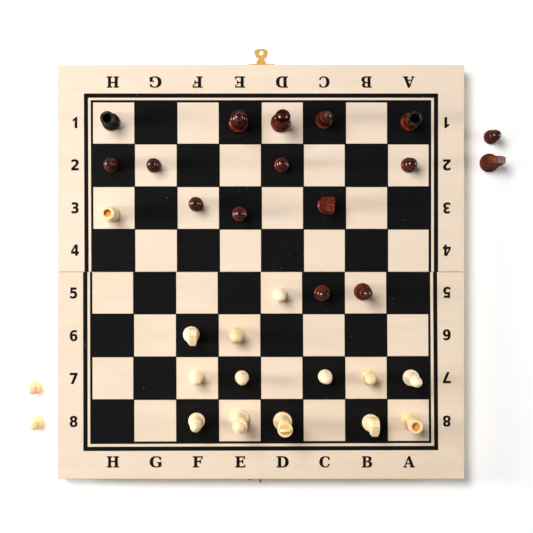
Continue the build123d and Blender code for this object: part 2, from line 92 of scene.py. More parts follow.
KING = [("L", 6.15, 0), ("A", 6.55, 0.3, 6.7, 0.95), ("L", 6.7, 3.4), ("A", 6.5, 4.4, 5.75, 4.9),
        ("L", 5.4, 5.2), ("A", 5.35, 5.9, 5.2, 6.3), ("A", 4.1, 14.5, 3.6, 26.0),
        ("L", 3.6, 28.0), ("A", 4.4, 28.3, 4.9, 29.2), ("A", 4.4, 30.1, 3.7, 30.4),
        ("L", 3.7, 31.2), ("A", 4.1, 35.8, 5.2, 39.2), ("L", 5.25, 41.7), ("A", 5.1, 42.2, 4.7, 42.4),
        ("L", 3.5, 42.4), ("S", 3.5, 44.0, 3.7)]
KNIGHT_FOOT = [("L", 5.7, 0), ("A", 6.0, 0.3, 6.1, 0.9), ("L", 6.1, 3.0), ("A", 5.95, 3.8, 5.4, 4.2),
               ("L", 5.0, 4.5), ("L", 5.0, 6.4), ("L", 0, 6.4)]
KNIGHT_SIDE = [(-4.6, 5.4), (-5.2, 9.0), (-5.6, 14.0), (-5.7, 19.5), (-5.1, 24.0), (-4.1, 26.3),
               (-1.7, 27.7), (-1.0, 29.2), (-0.3, 28.0), (0.9, 27.5), (3.4, 25.8), (6.2, 23.5),
               (6.8, 22.2), (6.5, 20.6), (5.5, 19.5), (4.2, 18.8), (3.7, 17.2), (3.9, 13.0),
               (4.3, 9.0), (4.6, 5.4)]


def knight_front(k, kz, lean):
    """Head-on outline: one flank nearly upright, the other a long slope down to the shoulder."""
    return [(-4.6 * k, 5.0 * kz), (4.6 * k, 5.0 * kz), (4.4 * k, 8.0 * kz), (lean + 2.75, 15.0 * kz),
            (lean + 2.6, 30.5 * kz), (lean - 2.6, 30.5 * kz), (lean - 2.65, 25.0 * kz), (-4.4 * k, 9.5 * kz)]


def knight_plan(k, lean):
    """Plan outline, muzzle forward."""
    return [(-6.3 * k, -2.5), (-4.6 * k, -5.2 * k), (-1.0, -6.0 * k), (2.0 * k, -5.3 * k), (4.8 * k, lean - 3.6),
            (7.0 * k, lean - 1.7), (7.0 * k, lean + 1.7), (3.0 * k, lean + 2.9), (0, 5.9 * k), (-4.6 * k, 5.2 * k),
            (-6.3 * k, 2.5)]
PROFILES = {"pawn": PAWN, "rook": ROOK, "bishop": BISHOP, "queen": QUEEN, "king": KING,
            "knight": KNIGHT_FOOT}

# name, profile, x, y, foot height, radius factor, height factor, turn, lean or fin
PIECES = [
    ("dark_rook_h1", "rook", -106.25, 106.3, TOP, 1.03, 1.0, 0, 3.1),
    ("dark_queen_e1", "queen", -15.7, 105.6, TOP, 0.99, 1.0, 0, 0),
    ("dark_king_d1", "king", 13.7, 105.7, TOP, 1.01, 1.0, 0, 3.4),
    ("dark_bishop_c1", "bishop", 44.55, 107.3, TOP, 1.0, 1.0, 0, 0),
    ("dark_rook_a1", "rook", 104.95, 106.05, TOP, 1.03, 1.04, 0, 3.2),
    ("dark_pawn_h2", "pawn", -106, 75.7, TOP, 0.98, 1.0, 0, 0),
    ("dark_pawn_g2", "pawn", -75.95, 75.5, TOP, 0.97, 1.0, 0, 0),
    ("dark_pawn_d2", "pawn", 14.65, 75.8, TOP, 0.99, 1.0, 0, 0),
    ("dark_pawn_a2", "pawn", 104.45, 75.7, TOP, 1.01, 1.03, 0, 0),
    ("dark_pawn_f3", "pawn", -46.15, 48.1, TOP, 0.97, 1.0, 0, 0),
    ("dark_pawn_e3", "pawn", -15.15, 41, TOP, 1.0, 1.0, 0, 0),
    ("dark_pawn_c5", "pawn", 43.3, -14.9, TOP, 1.09, 1.04, 0, 0),
    ("dark_knight_c3", "knight", 45.95, 47.1, TOP, 0.99, 1.0, -90, 1.6),
    ("dark_bishop_b5", "bishop", 71.85, -13.8, TOP, 1.0, 1.0, 0, 0),
    ("dark_pawn_captured", "pawn", 167.75, 97.4, 0.0, 0.99, 1.05, 0, 0),
    ("dark_knight_captured", "knight", 166.3, 78.6, 0.0, 1.1, 1.02, 0, 0.8),
    ("light_rook_h3", "rook", -106, 41.1, TOP, 0.97, 1.0, 0, 2.6),
    ("light_rook_a8", "rook", 105.65, -105.5, TOP, 1.02, 1.04, 0, 2.7),
    ("light_knight_f6", "knight", -49.25, -44.3, TOP, 0.95, 0.97, -90, 1.7),
    ("light_knight_b8", "knight", 77.65, -106.7, TOP, 0.99, 1.0, -90, 0.8),
    ("light_bishop_f8", "bishop", -45.45, -105.4, TOP, 0.97, 1.0, 0, 0),
    ("light_bishop_a7", "bishop", 106.15, -74.8, TOP, 0.95, 1.0, 0, 0),
    ("light_queen_e8", "queen", -15.35, -103.9, TOP, 0.98, 1.0, 0, 0),
    ("light_king_d8", "king", 15.35, -105.6, TOP, 0.98, 1.0, 0, 1.7),
    ("light_pawn_d5", "pawn", 13.55, -16.3, TOP, 0.96, 1.0, 0, 0),
    ("light_pawn_e6", "pawn", -17.9, -44.5, TOP, 1.13, 1.08, 0, 0),
    ("light_pawn_f7", "pawn", -45.35, -74.4, TOP, 1.01, 1.03, 0, 0),
    ("light_pawn_e7", "pawn", -13.45, -74.7, TOP, 0.94, 1.0, 0, 0),
    ("light_pawn_c7", "pawn", 45.45, -74, TOP, 0.95, 1.0, 0, 0),
    ("light_pawn_b7", "pawn", 76.25, -74.5, TOP, 0.96, 1.0, 0, 0),
    ("light_pawn_captured_1", "pawn", -163.5, -84.05, 0.0, 0.99, 1.0, 0, 0),
    ("light_pawn_captured_2", "pawn", -162.1, -109.6, 0.0, 0.99, 1.0, 0, 0),
]

BODY_OF = {n: o["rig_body"] for n, o in NODES.items()}


# ============================================================== node materials
def srgb(r, g, b):
    out = []
    for c in (r, g, b):
        c = c / 255.0
        out.append(c / 12.92 if c <= 0.04045 else ((c + 0.055) / 1.055) ** 2.4)
    return (*out, 1.0)


class Mat:
    """A Principled material with short calls for the nodes that feed it."""

    def __init__(self, name, **sockets):
        self.m = bpy.data.materials.new(name)
        self.m.use_nodes = True
        self.nt = self.m.node_tree
        self.b = self.nt.nodes["Principled BSDF"]
        for key, value in sockets.items():
            self.b.inputs[key.replace("_", " ")].default_value = value
        self._xyz = None

    def node(self, kind, **props):
        n = self.nt.nodes.new(kind)
        for key, value in props.items():
            setattr(n, key, value)
        return n

    def link(self, a, b):
        self.nt.links.new(a, b)

    def coords(self, scale=(1, 1, 1), rotate=(0, 0, 0), offset=(0, 0, 0)):
        if self._xyz is None:
            self._xyz = self.node("ShaderNodeTexCoord").outputs["Object"]
        m = self.node("ShaderNodeMapping")
        m.inputs["Scale"].default_value = scale
        m.inputs["Rotation"].default_value = rotate
        m.inputs["Location"].default_value = offset
        self.link(self._xyz, m.inputs["Vector"])
        return m.outputs["Vector"]

    def noise(self, vector, scale=1.0, detail=3.0, rough=0.5, distort=0.0):
        n = self.node("ShaderNodeTexNoise")
        n.inputs["Scale"].default_value = scale
        n.inputs["Detail"].default_value = detail
        n.inputs["Roughness"].default_value = rough
        n.inputs["Distortion"].default_value = distort
        self.link(vector, n.inputs["Vector"])
        return n.outputs["Fac"]

    def voronoi(self, vector, scale=1.0, feature="F1", output="Distance", rand=1.0):
        n = self.node("ShaderNodeTexVoronoi", feature=feature)
        n.inputs["Scale"].default_value = scale
        n.inputs["Randomness"].default_value = rand
        self.link(vector, n.inputs["Vector"])
        return n.outputs[output]

    def ramp(self, fac, stops):
        n = self.node("ShaderNodeValToRGB")
        el = n.color_ramp.elements
        while len(el) > 1:
            el.remove(el[0])
        el[0].position = stops[0][0]
        el[0].color = self._c(stops[0][1])
        for p, c in stops[1:]:
            e = el.new(p)
            e.color = self._c(c)
        self.link(fac, n.inputs["Fac"])
        return n.outputs["Color"]

    @staticmethod
    def _c(c):
        return (c, c, c, 1.0) if isinstance(c, (int, float)) else c

    def mix(self, fac, a, b, mode="MIX"):
        n = self.node("ShaderNodeMix", data_type="RGBA", blend_type=mode)
        for value, socket in ((fac, n.inputs[0]), (a, n.inputs[6]), (b, n.inputs[7])):
            if isinstance(value, (int, float, tuple)):
                socket.default_value = value
            else:
                self.link(value, socket)
        return n.outputs[2]

    def math(self, op, a, b=None, clamp=False):
        n = self.node("ShaderNodeMath", operation=op, use_clamp=clamp)
        for value, socket in ((a, n.inputs[0]), (b, n.inputs[1])):
            if value is None:
                continue
            if isinstance(value, (int, float)):
                socket.default_value = value
            else:
                self.link(value, socket)
        return n.outputs[0]

    def colour(self, out):
        self.link(out, self.b.inputs["Base Color"])

    def rough(self, out):
        self.link(out, self.b.inputs["Roughness"])

    def bump(self, height, distance, strength=1.0):
        n = self.node("ShaderNodeBump")
        n.inputs["Distance"].default_value = distance
        n.inputs["Strength"].default_value = strength
        self.link(height, n.inputs["Height"])
        self.link(n.outputs["Normal"], self.b.inputs["Normal"])
        return n


def panel_wood(name, base, shade, warm, seed):
    """Pale lacquered plywood: faint long grain, soft blotches, a few tan flecks."""
    k = Mat(name, Specular_IOR_Level=0.25)
    fine = k.noise(k.coords((60, 900, 400), offset=(seed, 0, 0)), 1.0, 4.0, 0.6, 0.4)
    broad = k.noise(k.coords((14, 70, 70), offset=(seed, 3, 0)), 1.0, 3.0, 0.5, 0.8)
    blotch = k.noise(k.coords((90, 90, 90), offset=(0, seed, 0)), 1.0, 4.0, 0.55)
    c = k.mix(k.ramp(broad, [(0.35, 0.0), (0.7, 1.0)]), base, shade)
    c = k.mix(k.ramp(fine, [(0.48, 0.0), (0.80, 0.45)]), c, warm)
    c = k.mix(k.ramp(blotch, [(0.55, 0.0), (0.78, 0.35)]), c, shade)
    spot = k.voronoi(k.coords((105, 105, 105), offset=(seed, 0, seed)), 1.0)
    pick = k.noise(k.coords((47, 47, 47), offset=(7, seed, 0)), 1.0, 1.0, 0.5)
    fleck = k.math("MULTIPLY", k.ramp(spot, [(0.045, 1.0), (0.085, 0.0)]), k.ramp(pick, [(0.56, 0.0), (0.60, 1.0)]))
    c = k.mix(fleck, c, srgb(246, 205, 150))
    k.colour(c)
    k.rough(k.ramp(fine, [(0.3, 0.38), (0.7, 0.52)]))
    k.bump(fine, 0.00002, 0.25)
    return k.m


def rail_wood(name, along, light, dark):
    """Sanded pale wood with its grain running along X or Y."""
    k = Mat(name, Specular_IOR_Level=0.3)
    s = (22, 420, 420) if along == "x" else (420, 22, 420)
    s2 = (6, 130, 130) if along == "x" else (130, 6, 130)
    fine = k.noise(k.coords(s), 1.0, 5.0, 0.62, 0.6)
    broad = k.noise(k.coords(s2, offset=(3, 5, 1)), 1.0, 3.0, 0.5, 1.4)
    pore = k.voronoi(k.coords((s[0] * 2.2, s[1] * 2.2, s[2] * 2.2)), 1.0)
    c = k.mix(k.ramp(broad, [(0.36, 0.0), (0.66, 1.0)]), light, dark)
    c = k.mix(k.ramp(fine, [(0.5, 0.0), (0.78, 0.5)]), c, srgb(206, 160, 108))
    c = k.mix(k.ramp(pore, [(0.05, 0.35), (0.16, 0.0)]), c, srgb(176, 126, 80))
    k.colour(c)
    k.rough(k.ramp(fine, [(0.3, 0.45), (0.7, 0.62)]))
    k.bump(fine, 0.00003, 0.35)
    return k.m


def turned_wood(name, low, mid, high, rough, coat, fleck, grain=(420, 420, 70), seed=0.0,
                spec=0.5, coat_ior=1.6, ring=0.25, soft=0.0, coat_rough=0.10, painted_rim_shade=0.0, painted_glint_rings=0.0, end=None):
    """Turned and finished wood: grain runs up the piece, tool rings run round it."""
    k = Mat(name, Coat_Roughness=coat_rough, Coat_IOR=coat_ior)
    # the lacquer is thin: its shine dies away where the surface turns from the eye
    turn = k.node("ShaderNodeLayerWeight")
    turn.inputs["Blend"].default_value = 0.5
    facing = turn.outputs["Facing"]
    k.link(k.ramp(facing, [(0.34, coat), (0.52, coat * 0.12)]), k.b.inputs["Coat Weight"])
    k.link(k.ramp(facing, [(0.30, spec), (0.58, spec * 0.1)]), k.b.inputs["Specular IOR Level"])
    if soft:
        k.b.inputs["Subsurface Weight"].default_value = soft
        k.b.inputs["Subsurface Radius"].default_value = (1.0, 0.5, 0.22)
        k.b.inputs["Subsurface Scale"].default_value = 0.0025
    streak = k.noise(k.coords(grain, offset=(seed, seed * 2, 0)), 1.0, 4.0, 0.65, 0.5)
    patch = k.noise(k.coords((150, 150, 60), offset=(seed, 0, 4)), 1.0, 3.0, 0.55, 0.6)
    pores = k.voronoi(k.coords((grain[0] * 2.0, grain[1] * 2.0, grain[2] * 3.0), offset=(0, seed, 0)), 1.0)
    c = k.ramp(streak, [(0.30, low), (0.50, mid), (0.72, high)])
    c = k.mix(k.ramp(patch, [(0.40, 0.0), (0.68, 0.55)]), c, low)
    c = k.mix(k.ramp(pores, [(0.10, fleck), (0.26, 0.0)]), c, low)
    if end:
        # surfaces that face up turn toward the end colour: partly end grain, which drinks up more of the finish, and
        # partly painted shade that darkens the tops
        up = k.node("ShaderNodeSeparateXYZ")
        k.link(k.node("ShaderNodeTexCoord").outputs["Normal"], up.inputs["Vector"])
        c = k.mix(k.ramp(up.outputs["Z"], [(0.45, 0.0), (0.97, 0.62)]), c, end)
    # painted highlights: thin lighter bands round the piece, standing for the glints on its turned steps
    if painted_glint_rings:
        cut = k.node("ShaderNodeTexWave", wave_type="BANDS", bands_direction="Z")
        cut.inputs["Scale"].default_value = 130.0
        cut.inputs["Distortion"].default_value = 0.6
        k.link(k.coords(), cut.inputs["Vector"])
        c = k.mix(k.ramp(cut.outputs["Fac"], [(0.84, 0.0), (0.97, painted_glint_rings)]), c, high)
    # painted shade: the colour darkens towards low where the surface turns away from the eye, round the rims of the
    # pieces
    if painted_rim_shade:
        c = k.mix(k.ramp(facing, [(0.45, 0.0), (0.80, painted_rim_shade)]), c, low)
    k.colour(c)
    k.rough(k.ramp(streak, [(0.3, rough), (0.7, rough + 0.12)]))
    # tool rings: a wave up the piece's own axis
    w = k.node("ShaderNodeTexWave", wave_type="BANDS", bands_direction="Z")
    w.inputs["Scale"].default_value = 520.0
    w.inputs["Distortion"].default_value = 1.2
    w.inputs["Detail"].default_value = 2.0
    w.inputs["Detail Scale"].default_value = 1.5
    k.link(k.coords(), w.inputs["Vector"])
    both = k.mix(ring, streak, w.outputs["Fac"])
    k.bump(both, 0.00004, 0.5)
    return k.m


def brass(name, tone, rough, seed=0.0):
    k = Mat(name, Metallic=0.35)
    a = k.noise(k.coords((500, 500, 500), offset=(seed, 0, 0)), 1.0, 3.0, 0.6)
    brush = k.noise(k.coords((3000, 260, 3000), offset=(0, seed, 0)), 1.0, 3.0, 0.6)
    dark = (tone[0] * 0.66, tone[1] * 0.55, tone[2] * 0.42, 1.0)
    c = k.mix(k.ramp(a, [(0.45, 0.0), (0.78, 0.75)]), tone, dark)
    k.colour(c)
    k.rough(k.ramp(brush, [(0.3, rough), (0.7, rough + 0.18)]))
    k.bump(brush, 0.00002, 0.25)
    return k.m


INK = Mat("ink")
# the ink is matt: it must not mirror the lights at a low angle
_turn = INK.node("ShaderNodeLayerWeight")
_turn.inputs["Blend"].default_value = 0.5
INK.link(INK.ramp(_turn.outputs["Facing"], [(0.35, 0.12), (0.65, 0.01)]), INK.b.inputs["Specular IOR Level"])
_dust = INK.voronoi(INK.coords((260, 260, 260)), 1.0)
_pick = INK.noise(INK.coords((62, 62, 62), offset=(4, 0, 0)), 1.0, 3.0, 0.6)
_speck = INK.math("MULTIPLY", INK.ramp(_dust, [(0.06, 1.0), (0.13, 0.0)]), INK.ramp(_pick, [(0.56, 0.0), (0.66, 0.8)]))
_grain = INK.noise(INK.coords((70, 1100, 400)), 1.0, 4.0, 0.6, 0.4)
_tone = INK.ramp(_grain, [(0.3, srgb(13, 13, 14)), (0.7, srgb(21, 20, 20))])
INK.colour(INK.mix(_speck, _tone, srgb(120, 104, 92)))
INK.rough(INK.ramp(_grain, [(0.3, 0.50), (0.7, 0.66)]))
INK.bump(_grain, 0.00002, 0.3)
INK = INK.m

M_PANEL_FAR = panel_wood("plywood_far", srgb(238, 219, 198), srgb(234, 213, 190), srgb(231, 204, 174), 1.3)
M_PANEL_NEAR = panel_wood("plywood_near", srgb(237, 218, 195), srgb(232, 210, 185), srgb(229, 200, 168), 5.1)
M_RAIL_X = rail_wood("rail_along_x", "x", srgb(240, 214, 176), srgb(228, 196, 152))
M_RAIL_Y = rail_wood("rail_along_y", "y", srgb(240, 214, 176), srgb(228, 196, 152))
M_BRASS = brass("brass", srgb(255, 204, 104), 0.26, 1.0)
M_BRASS_OLD = brass("brass_aged", srgb(206, 132, 66), 0.30, 4.0)
M_DARK = [turned_wood("stained_%d" % i, srgb(34, 10, 6), srgb(122, 42, 22), srgb(176, 80, 46), 0.55, 0.32, 0.95,
                      seed=2.0 + 3.1 * i, spec=0.14, coat_ior=1.5, coat_rough=0.16, painted_rim_shade=0.65, painted_glint_rings=0.2)
          for i in range(3)]
# the heads and crowns of the dark pieces: the same stain under a harder polish, in a darker colour that is painted
# shade on their tops
M_DARK_TOP_SHADED = turned_wood("stained_polished", srgb(26, 8, 5), srgb(88, 28, 15), srgb(136, 55, 30), 0.50, 0.9, 0.8, seed=9.0,
                          spec=0.14, coat_ior=1.6, painted_rim_shade=0.85, end=srgb(44, 14, 8))
M_BLACK = turned_wood("stained_black", srgb(10, 9, 9), srgb(17, 15, 14), srgb(84, 74, 68), 0.55, 0.5, 0.4, seed=11.0,
                      spec=0.2, coat_ior=1.5, coat_rough=0.16, painted_rim_shade=0.5, painted_glint_rings=0.22)
# the floor of the dark king's saw cuts, darker than its stain: painted shade in the recess
M_DARK_CUT_SHADE = turned_wood("stained_saw_cut", srgb(16, 4, 2), srgb(34, 9, 5), srgb(60, 18, 9), 0.6, 0.0, 0.5, seed=14.0, spec=0.1)
# near-black down the bore of the dark rooks: painted shade
M_DARK_BORE_SHADE = turned_wood("stained_bore", srgb(4, 3, 3), srgb(7, 4, 4), srgb(14, 7, 5), 0.55, 0.0, 0.4, seed=12.0, spec=0.2)
# pale turned wood in three tones; the end colour on their tops is partly end grain and partly painted shade
M_LIGHT = [turned_wood("boxwood_%d" % i, low, mid, high, 0.45, 0.45, 0.30, seed=21.0 + 2.7 * i, spec=0.3,
                       coat_ior=1.45, soft=0.30, end=srgb(245, 206, 146))
           for i, (low, mid, high) in enumerate((
               (srgb(244, 216, 172), srgb(254, 236, 204), srgb(255, 246, 226)),
               (srgb(240, 206, 154), srgb(253, 228, 186), srgb(254, 240, 210)),
               (srgb(236, 194, 134), srgb(252, 220, 168), srgb(253, 234, 194))))]
for _m in M_LIGHT:
    # painted light: the pale wood glows faintly from an emission, which keeps its shaded side from going dark
    _b = _m.node_tree.nodes["Principled BSDF"]
    _b.inputs["Emission Color"].default_value = (1.0, 0.82, 0.62, 1)
    _b.inputs["Emission Strength"].default_value = 0.10
TONE = {"f7": 0, "c7": 0, "a7": 0, "d5": 0, "e8": 1, "e6": 2, "b7": 2, "d8": 2, "a8": 2}
M_LIGHT_CUT = turned_wood("boxwood_end_grain", srgb(222, 166, 96), srgb(240, 196, 128), srgb(248, 216, 160), 0.5, 0.0, 0.5,
                          grain=(900, 900, 900), seed=33.0, spec=0.3)
M_LIGHT_HOLE = turned_wood("boxwood_bore", srgb(196, 122, 48), srgb(240, 176, 84), srgb(252, 210, 136), 0.6, 0.0, 0.9,
                           grain=(900, 900, 900), seed=31.0, spec=0.2)


def paint(obj, *mats):
    obj.data.materials.clear()
    for m in mats:
        obj.data.materials.append(m)


# =============================================================== mesh builders
def new_object(name, verts, faces, mats, location=(0, 0, 0), smooth=True, index=None):
    mesh = bpy.data.meshes.new(name)
    mesh.from_pydata([(v[0] * MM, v[1] * MM, v[2] * MM) for v in verts], [], faces)
    bm = bmesh.new()
    bm.from_mesh(mesh)
    bmesh.ops.recalc_face_normals(bm, faces=bm.faces)
    bm.to_mesh(mesh)
    bm.free()
    for m in mats:
        mesh.materials.append(m)
    for i, p in enumerate(mesh.polygons):
        p.use_smooth = smooth
        if index is not None:
            p.material_index = index[i]
    obj = bpy.data.objects.new(name, mesh)
    obj.location = (location[0] * MM, location[1] * MM, location[2] * MM)
    bpy.context.scene.collection.objects.link(obj)
    return obj


def arc_points(a, m, b, step=8.0):
    """Points on the circle through a, m and b, after a, up to b."""
    ax, ay = a
    bx, by = m
    cx, cy = b
    d = 2 * (ax * (by - cy) + bx * (cy - ay) + cx * (ay - by))
    ux = ((ax * ax + ay * ay) * (by - cy) + (bx * bx + by * by) * (cy - ay) + (cx * cx + cy * cy) * (ay - by)) / d
    uy = ((ax * ax + ay * ay) * (cx - bx) + (bx * bx + by * by) * (ax - cx) + (cx * cx + cy * cy) * (bx - ax)) / d
    r = math.hypot(ax - ux, ay - uy)
    t0 = math.atan2(ay - uy, ax - ux)
    tm = math.atan2(by - uy, bx - ux)
    t1 = math.atan2(cy - uy, cx - ux)
    full = 2 * math.pi
    if (tm - t0) % full < (t1 - t0) % full:
        sweep = (t1 - t0) % full
    else:
        sweep = -((t0 - t1) % full)
    n = max(3, int(math.ceil(abs(math.degrees(sweep)) / step)), int(abs(sweep) * r / 0.9))
    return [(ux + r * math.cos(t0 + sweep * i / n), uy + r * math.sin(t0 + sweep * i / n)) for i in range(1, n + 1)]


def soften(pts, size=0.16, limit=24.0):
    """Rounds the sharp corners of a turned profile a little."""
    out = [pts[0]]
    for i in range(1, len(pts) - 1):
        p, a, b = Vector(pts[i]), Vector(pts[i - 1]), Vector(pts[i + 1])
        u, v = p - a, b - p
        if u.length < 1e-6 or v.length < 1e-6:
            continue
        if math.degrees(u.angle(v)) < limit:
            out.append(tuple(p))
            continue
        d = min(size, 0.42 * u.length, 0.42 * v.length)
        s, e = p - u.normalized() * d, p + v.normalized() * d
        for t in (0.0, 0.25, 0.5, 0.75, 1.0):
            out.append(tuple((1 - t) ** 2 * s + 2 * t * (1 - t) * p + t * t * e))
    out.append(pts[-1])
    return out


def outline(steps, k, kz):
    pts = [(0.0, 0.0)]
    for s in steps:
        here = pts[-1]
        if s[0] == "L":
            pts.append((s[1] * k, s[2] * kz))
        elif s[0] == "A":
            pts += arc_points(here, (s[1] * k, s[2] * kz), (s[3] * k, s[4] * kz))
        else:
            r = s[3] * k
            rise = math.sqrt(r * r - (s[1] * k) ** 2)
            pts.append((s[1] * k, s[2] * kz - rise))
            low = -math.asin(rise / r)
            n = 26
            for i in range(1, n + 1):
                t = low + (math.pi / 2 - low) * i / n
                pts.append((r * math.cos(t), s[2] * kz + r * math.sin(t)))
    pts[-1] = (0.0, pts[-1][1])
    return soften(pts)


def lathe(pts, seg=96, wobble=0.0, phase=0.0):
    """Closed mesh of revolution; wobble makes it very slightly out of round, as turned by hand."""
    verts, faces, rings = [], [], []
    for r, z in pts:
        if r < 1e-6:
            rings.append([len(verts)])
            verts.append((0.0, 0.0, z))
        else:
            rings.append(list(range(len(verts), len(verts) + seg)))
            for i in range(seg):
                t = 2 * math.pi * i / seg
                q = r * (1 + wobble * math.cos(2 * t + phase))
                verts.append((q * math.cos(t), q * math.sin(t), z))
    spans = []
    for j in range(len(rings) - 1):
        a, b = rings[j], rings[j + 1]
        if len(a) == 1 and len(b) == 1:
            continue
        for i in range(seg):
            n = (i + 1) % seg
            if len(a) == 1:
                faces.append((a[0], b[n], b[i]))
            elif len(b) == 1:
                faces.append((a[i], a[n], b[0]))
            else:
                faces.append((a[i], a[n], b[n], b[i]))
            spans.append(j)
    return verts, faces, spans


def king_fin(k, kz, thick, seg=96):
    """Upright fin left by two saw cuts: rings of the finial with their y held to the fin's thickness."""
    r0, zc, rad, base = 3.5 * k, 44.0 * kz, 3.7 * k, 41.6 * kz
    levels = [(base, r0), (42.5 * kz, r0), (zc - math.sqrt(rad * rad - r0 * r0), r0)]
    low = -math.asin(math.sqrt(rad * rad - r0 * r0) / rad)
    for i in range(1, 27):
        t = low + (math.pi / 2 - low) * i / 27
        levels.append((zc + rad * math.sin(t), rad * math.cos(t)))
    verts, faces = [], []
    h = thick / 2
    for z, r in levels:
        for i in range(seg):
            t = 2 * math.pi * i / seg
            x, y = r * math.cos(t), r * math.sin(t)
            a, soft = abs(y), 0.22
            if a > h - soft:
                a = h - soft + soft * math.tanh((a - h + soft) / soft)
            verts.append((x, math.copysign(a, y), z))
    top = len(verts)
    verts.append((0, 0, zc + rad))
    bottom = len(verts)
    verts.append((0, 0, base))
    n = len(levels)
    for j in range(n - 1):
        for i in range(seg):
            m = (i + 1) % seg
            faces.append((j * seg + i, j * seg + m, (j + 1) * seg + m, (j + 1) * seg + i))
    for i in range(seg):
        m = (i + 1) % seg
        faces.append(((n - 1) * seg + i, (n - 1) * seg + m, top))
        faces.append((m, i, bottom))
    return verts, faces


def prism(points, frame3, half):
    """Closed prism: a flat outline swept both ways along its normal. frame3 is (x axis, y axis, normal)."""
    ex, ey, en = (Vector(v) for v in frame3)
    verts = [tuple(ex * p + ey * q + en * s) for s in (-half, half) for p, q in points]
    n = len(points)
    faces = [tuple(range(n))[::-1], tuple(range(n, 2 * n))]
    faces += [(i, (i + 1) % n, n + (i + 1) % n, n + i) for i in range(n)]
    return verts, faces


def plain_mesh(name, verts, faces):
    mesh = bpy.data.meshes.new(name)
    mesh.from_pydata(verts, [], faces)
    bm = bmesh.new()
    bm.from_mesh(mesh)
    bmesh.ops.recalc_face_normals(bm, faces=bm.faces)
    bm.to_mesh(mesh)
    bm.free()
    obj = bpy.data.objects.new(name, mesh)
    bpy.context.scene.collection.objects.link(obj)
    return obj


def applied(obj):
    """The object's mesh with its modifiers applied; the object itself is removed."""
    bpy.context.view_layer.update()
    dg = bpy.context.evaluated_depsgraph_get()
    mesh = bpy.data.meshes.new_from_object(obj.evaluated_get(dg))
    bpy.data.objects.remove(obj)
    return mesh


def carve_knight(name, k, kz, turn, lean):
    """Hand-sawn knight: side outline, tapered flanks, mouth, eyes; then its arrises are sanded off."""
    a = math.radians(turn)
    fwd, left, up = (math.cos(a), math.sin(a), 0), (-math.sin(a), math.cos(a), 0), (0, 0, 1)
    right = (-left[0], -left[1], 0)
    side = plain_mesh("tmp_side", *prism([(p * k, q * kz) for p, q in KNIGHT_SIDE], (fwd, up, right), 7))
    front = plain_mesh("tmp_front", *prism(knight_front(k, kz, lean), (left, up, fwd), 12))
    plan = plain_mesh("tmp_plan", *prism(knight_plan(k, lean), (fwd, left, up), 60))
    foot_v, foot_f, _ = lathe(outline(KNIGHT_FOOT, k, kz), 96)
    foot = plain_mesh("tmp_foot", foot_v, foot_f)
    L = Vector(left)
    F = Vector(fwd)
    tools = []
    # mouth: a shallow slanting saw cut across the muzzle
    mouth = [(4.3, 21.2), (7.4, 20.9), (7.4, 21.4), (4.3, 21.4)]
    tools.append(plain_mesh("tmp_mouth", *prism([(p * k, q * kz) for p, q in mouth], (fwd, up, right), 6)))
    # eyes: a drilled dimple each side of the brow
    for s in (-1, 1):
        ball_v, ball_f, _ = lathe([(0, -0.8)] + [(0.8 * math.cos(math.radians(t)), 0.8 * math.sin(math.radians(t))) for t in range(-75, 90, 15)] + [(0, 0.8)], 24)
        centre = F * (1.4 * k) + L * (lean + s * 3.1) + Vector((0, 0, 25.0 * kz))
        tools.append(plain_mesh("tmp_eye", [tuple(Vector(v) + centre) for v in ball_v], ball_f))
    body = side
    for other, op in [(front, "INTERSECT"), (plan, "INTERSECT"), (foot, "UNION")] + [(t, "DIFFERENCE") for t in tools]:
        m = body.modifiers.new("b", "BOOLEAN")
        m.operation, m.solver, m.object = op, "EXACT", other
    r = body.modifiers.new("r", "REMESH")
    r.mode, r.voxel_size = "VOXEL", 0.17
    s = body.modifiers.new("s", "SMOOTH")
    s.factor, s.iterations = 0.5, 2
    mesh = applied(body)
    for o in [front, plan, foot] + tools:
        bpy.data.objects.remove(o)
    mesh.transform(Matrix.Scale(MM, 4))
    mesh.name = name
    return mesh


def rect_union(rects, warp, z0, z1):
    """One closed slab from many rectangles that may overlap."""
    xs = sorted({round(v, 4) for r in rects for v in (r[0], r[1])})
    ys = sorted({round(v, 4) for r in rects for v in (r[2], r[3])})
    nx, ny = len(xs), len(ys)
    full = set()
    for i in range(nx - 1):
        for j in range(ny - 1):
            cx, cy = (xs[i] + xs[i + 1]) / 2, (ys[j] + ys[j + 1]) / 2
            if any(r[0] < cx < r[1] and r[2] < cy < r[3] for r in rects):
                full.add((i, j))
    verts, where, faces = [], {}, []

    def vert(i, j, top):
        if (i, j, top) not in where:
            x, y = warp(xs[i], ys[j])
            where[(i, j, top)] = len(verts)
            verts.append((x, y, z1 if top else z0))
        return where[(i, j, top)]

    for i, j in full:
        q = [(i, j), (i + 1, j), (i + 1, j + 1), (i, j + 1)]
        faces.append([vert(*p, True) for p in q])
        faces.append([vert(*p, False) for p in q[::-1]])
        for a, b, n in ((0, 1, (i, j - 1)), (1, 2, (i + 1, j)), (2, 3, (i, j + 1)), (3, 0, (i - 1, j))):
            if n not in full:
                faces.append([vert(*q[b], True), vert(*q[a], True), vert(*q[a], False), vert(*q[b], False)])
    return verts, faces


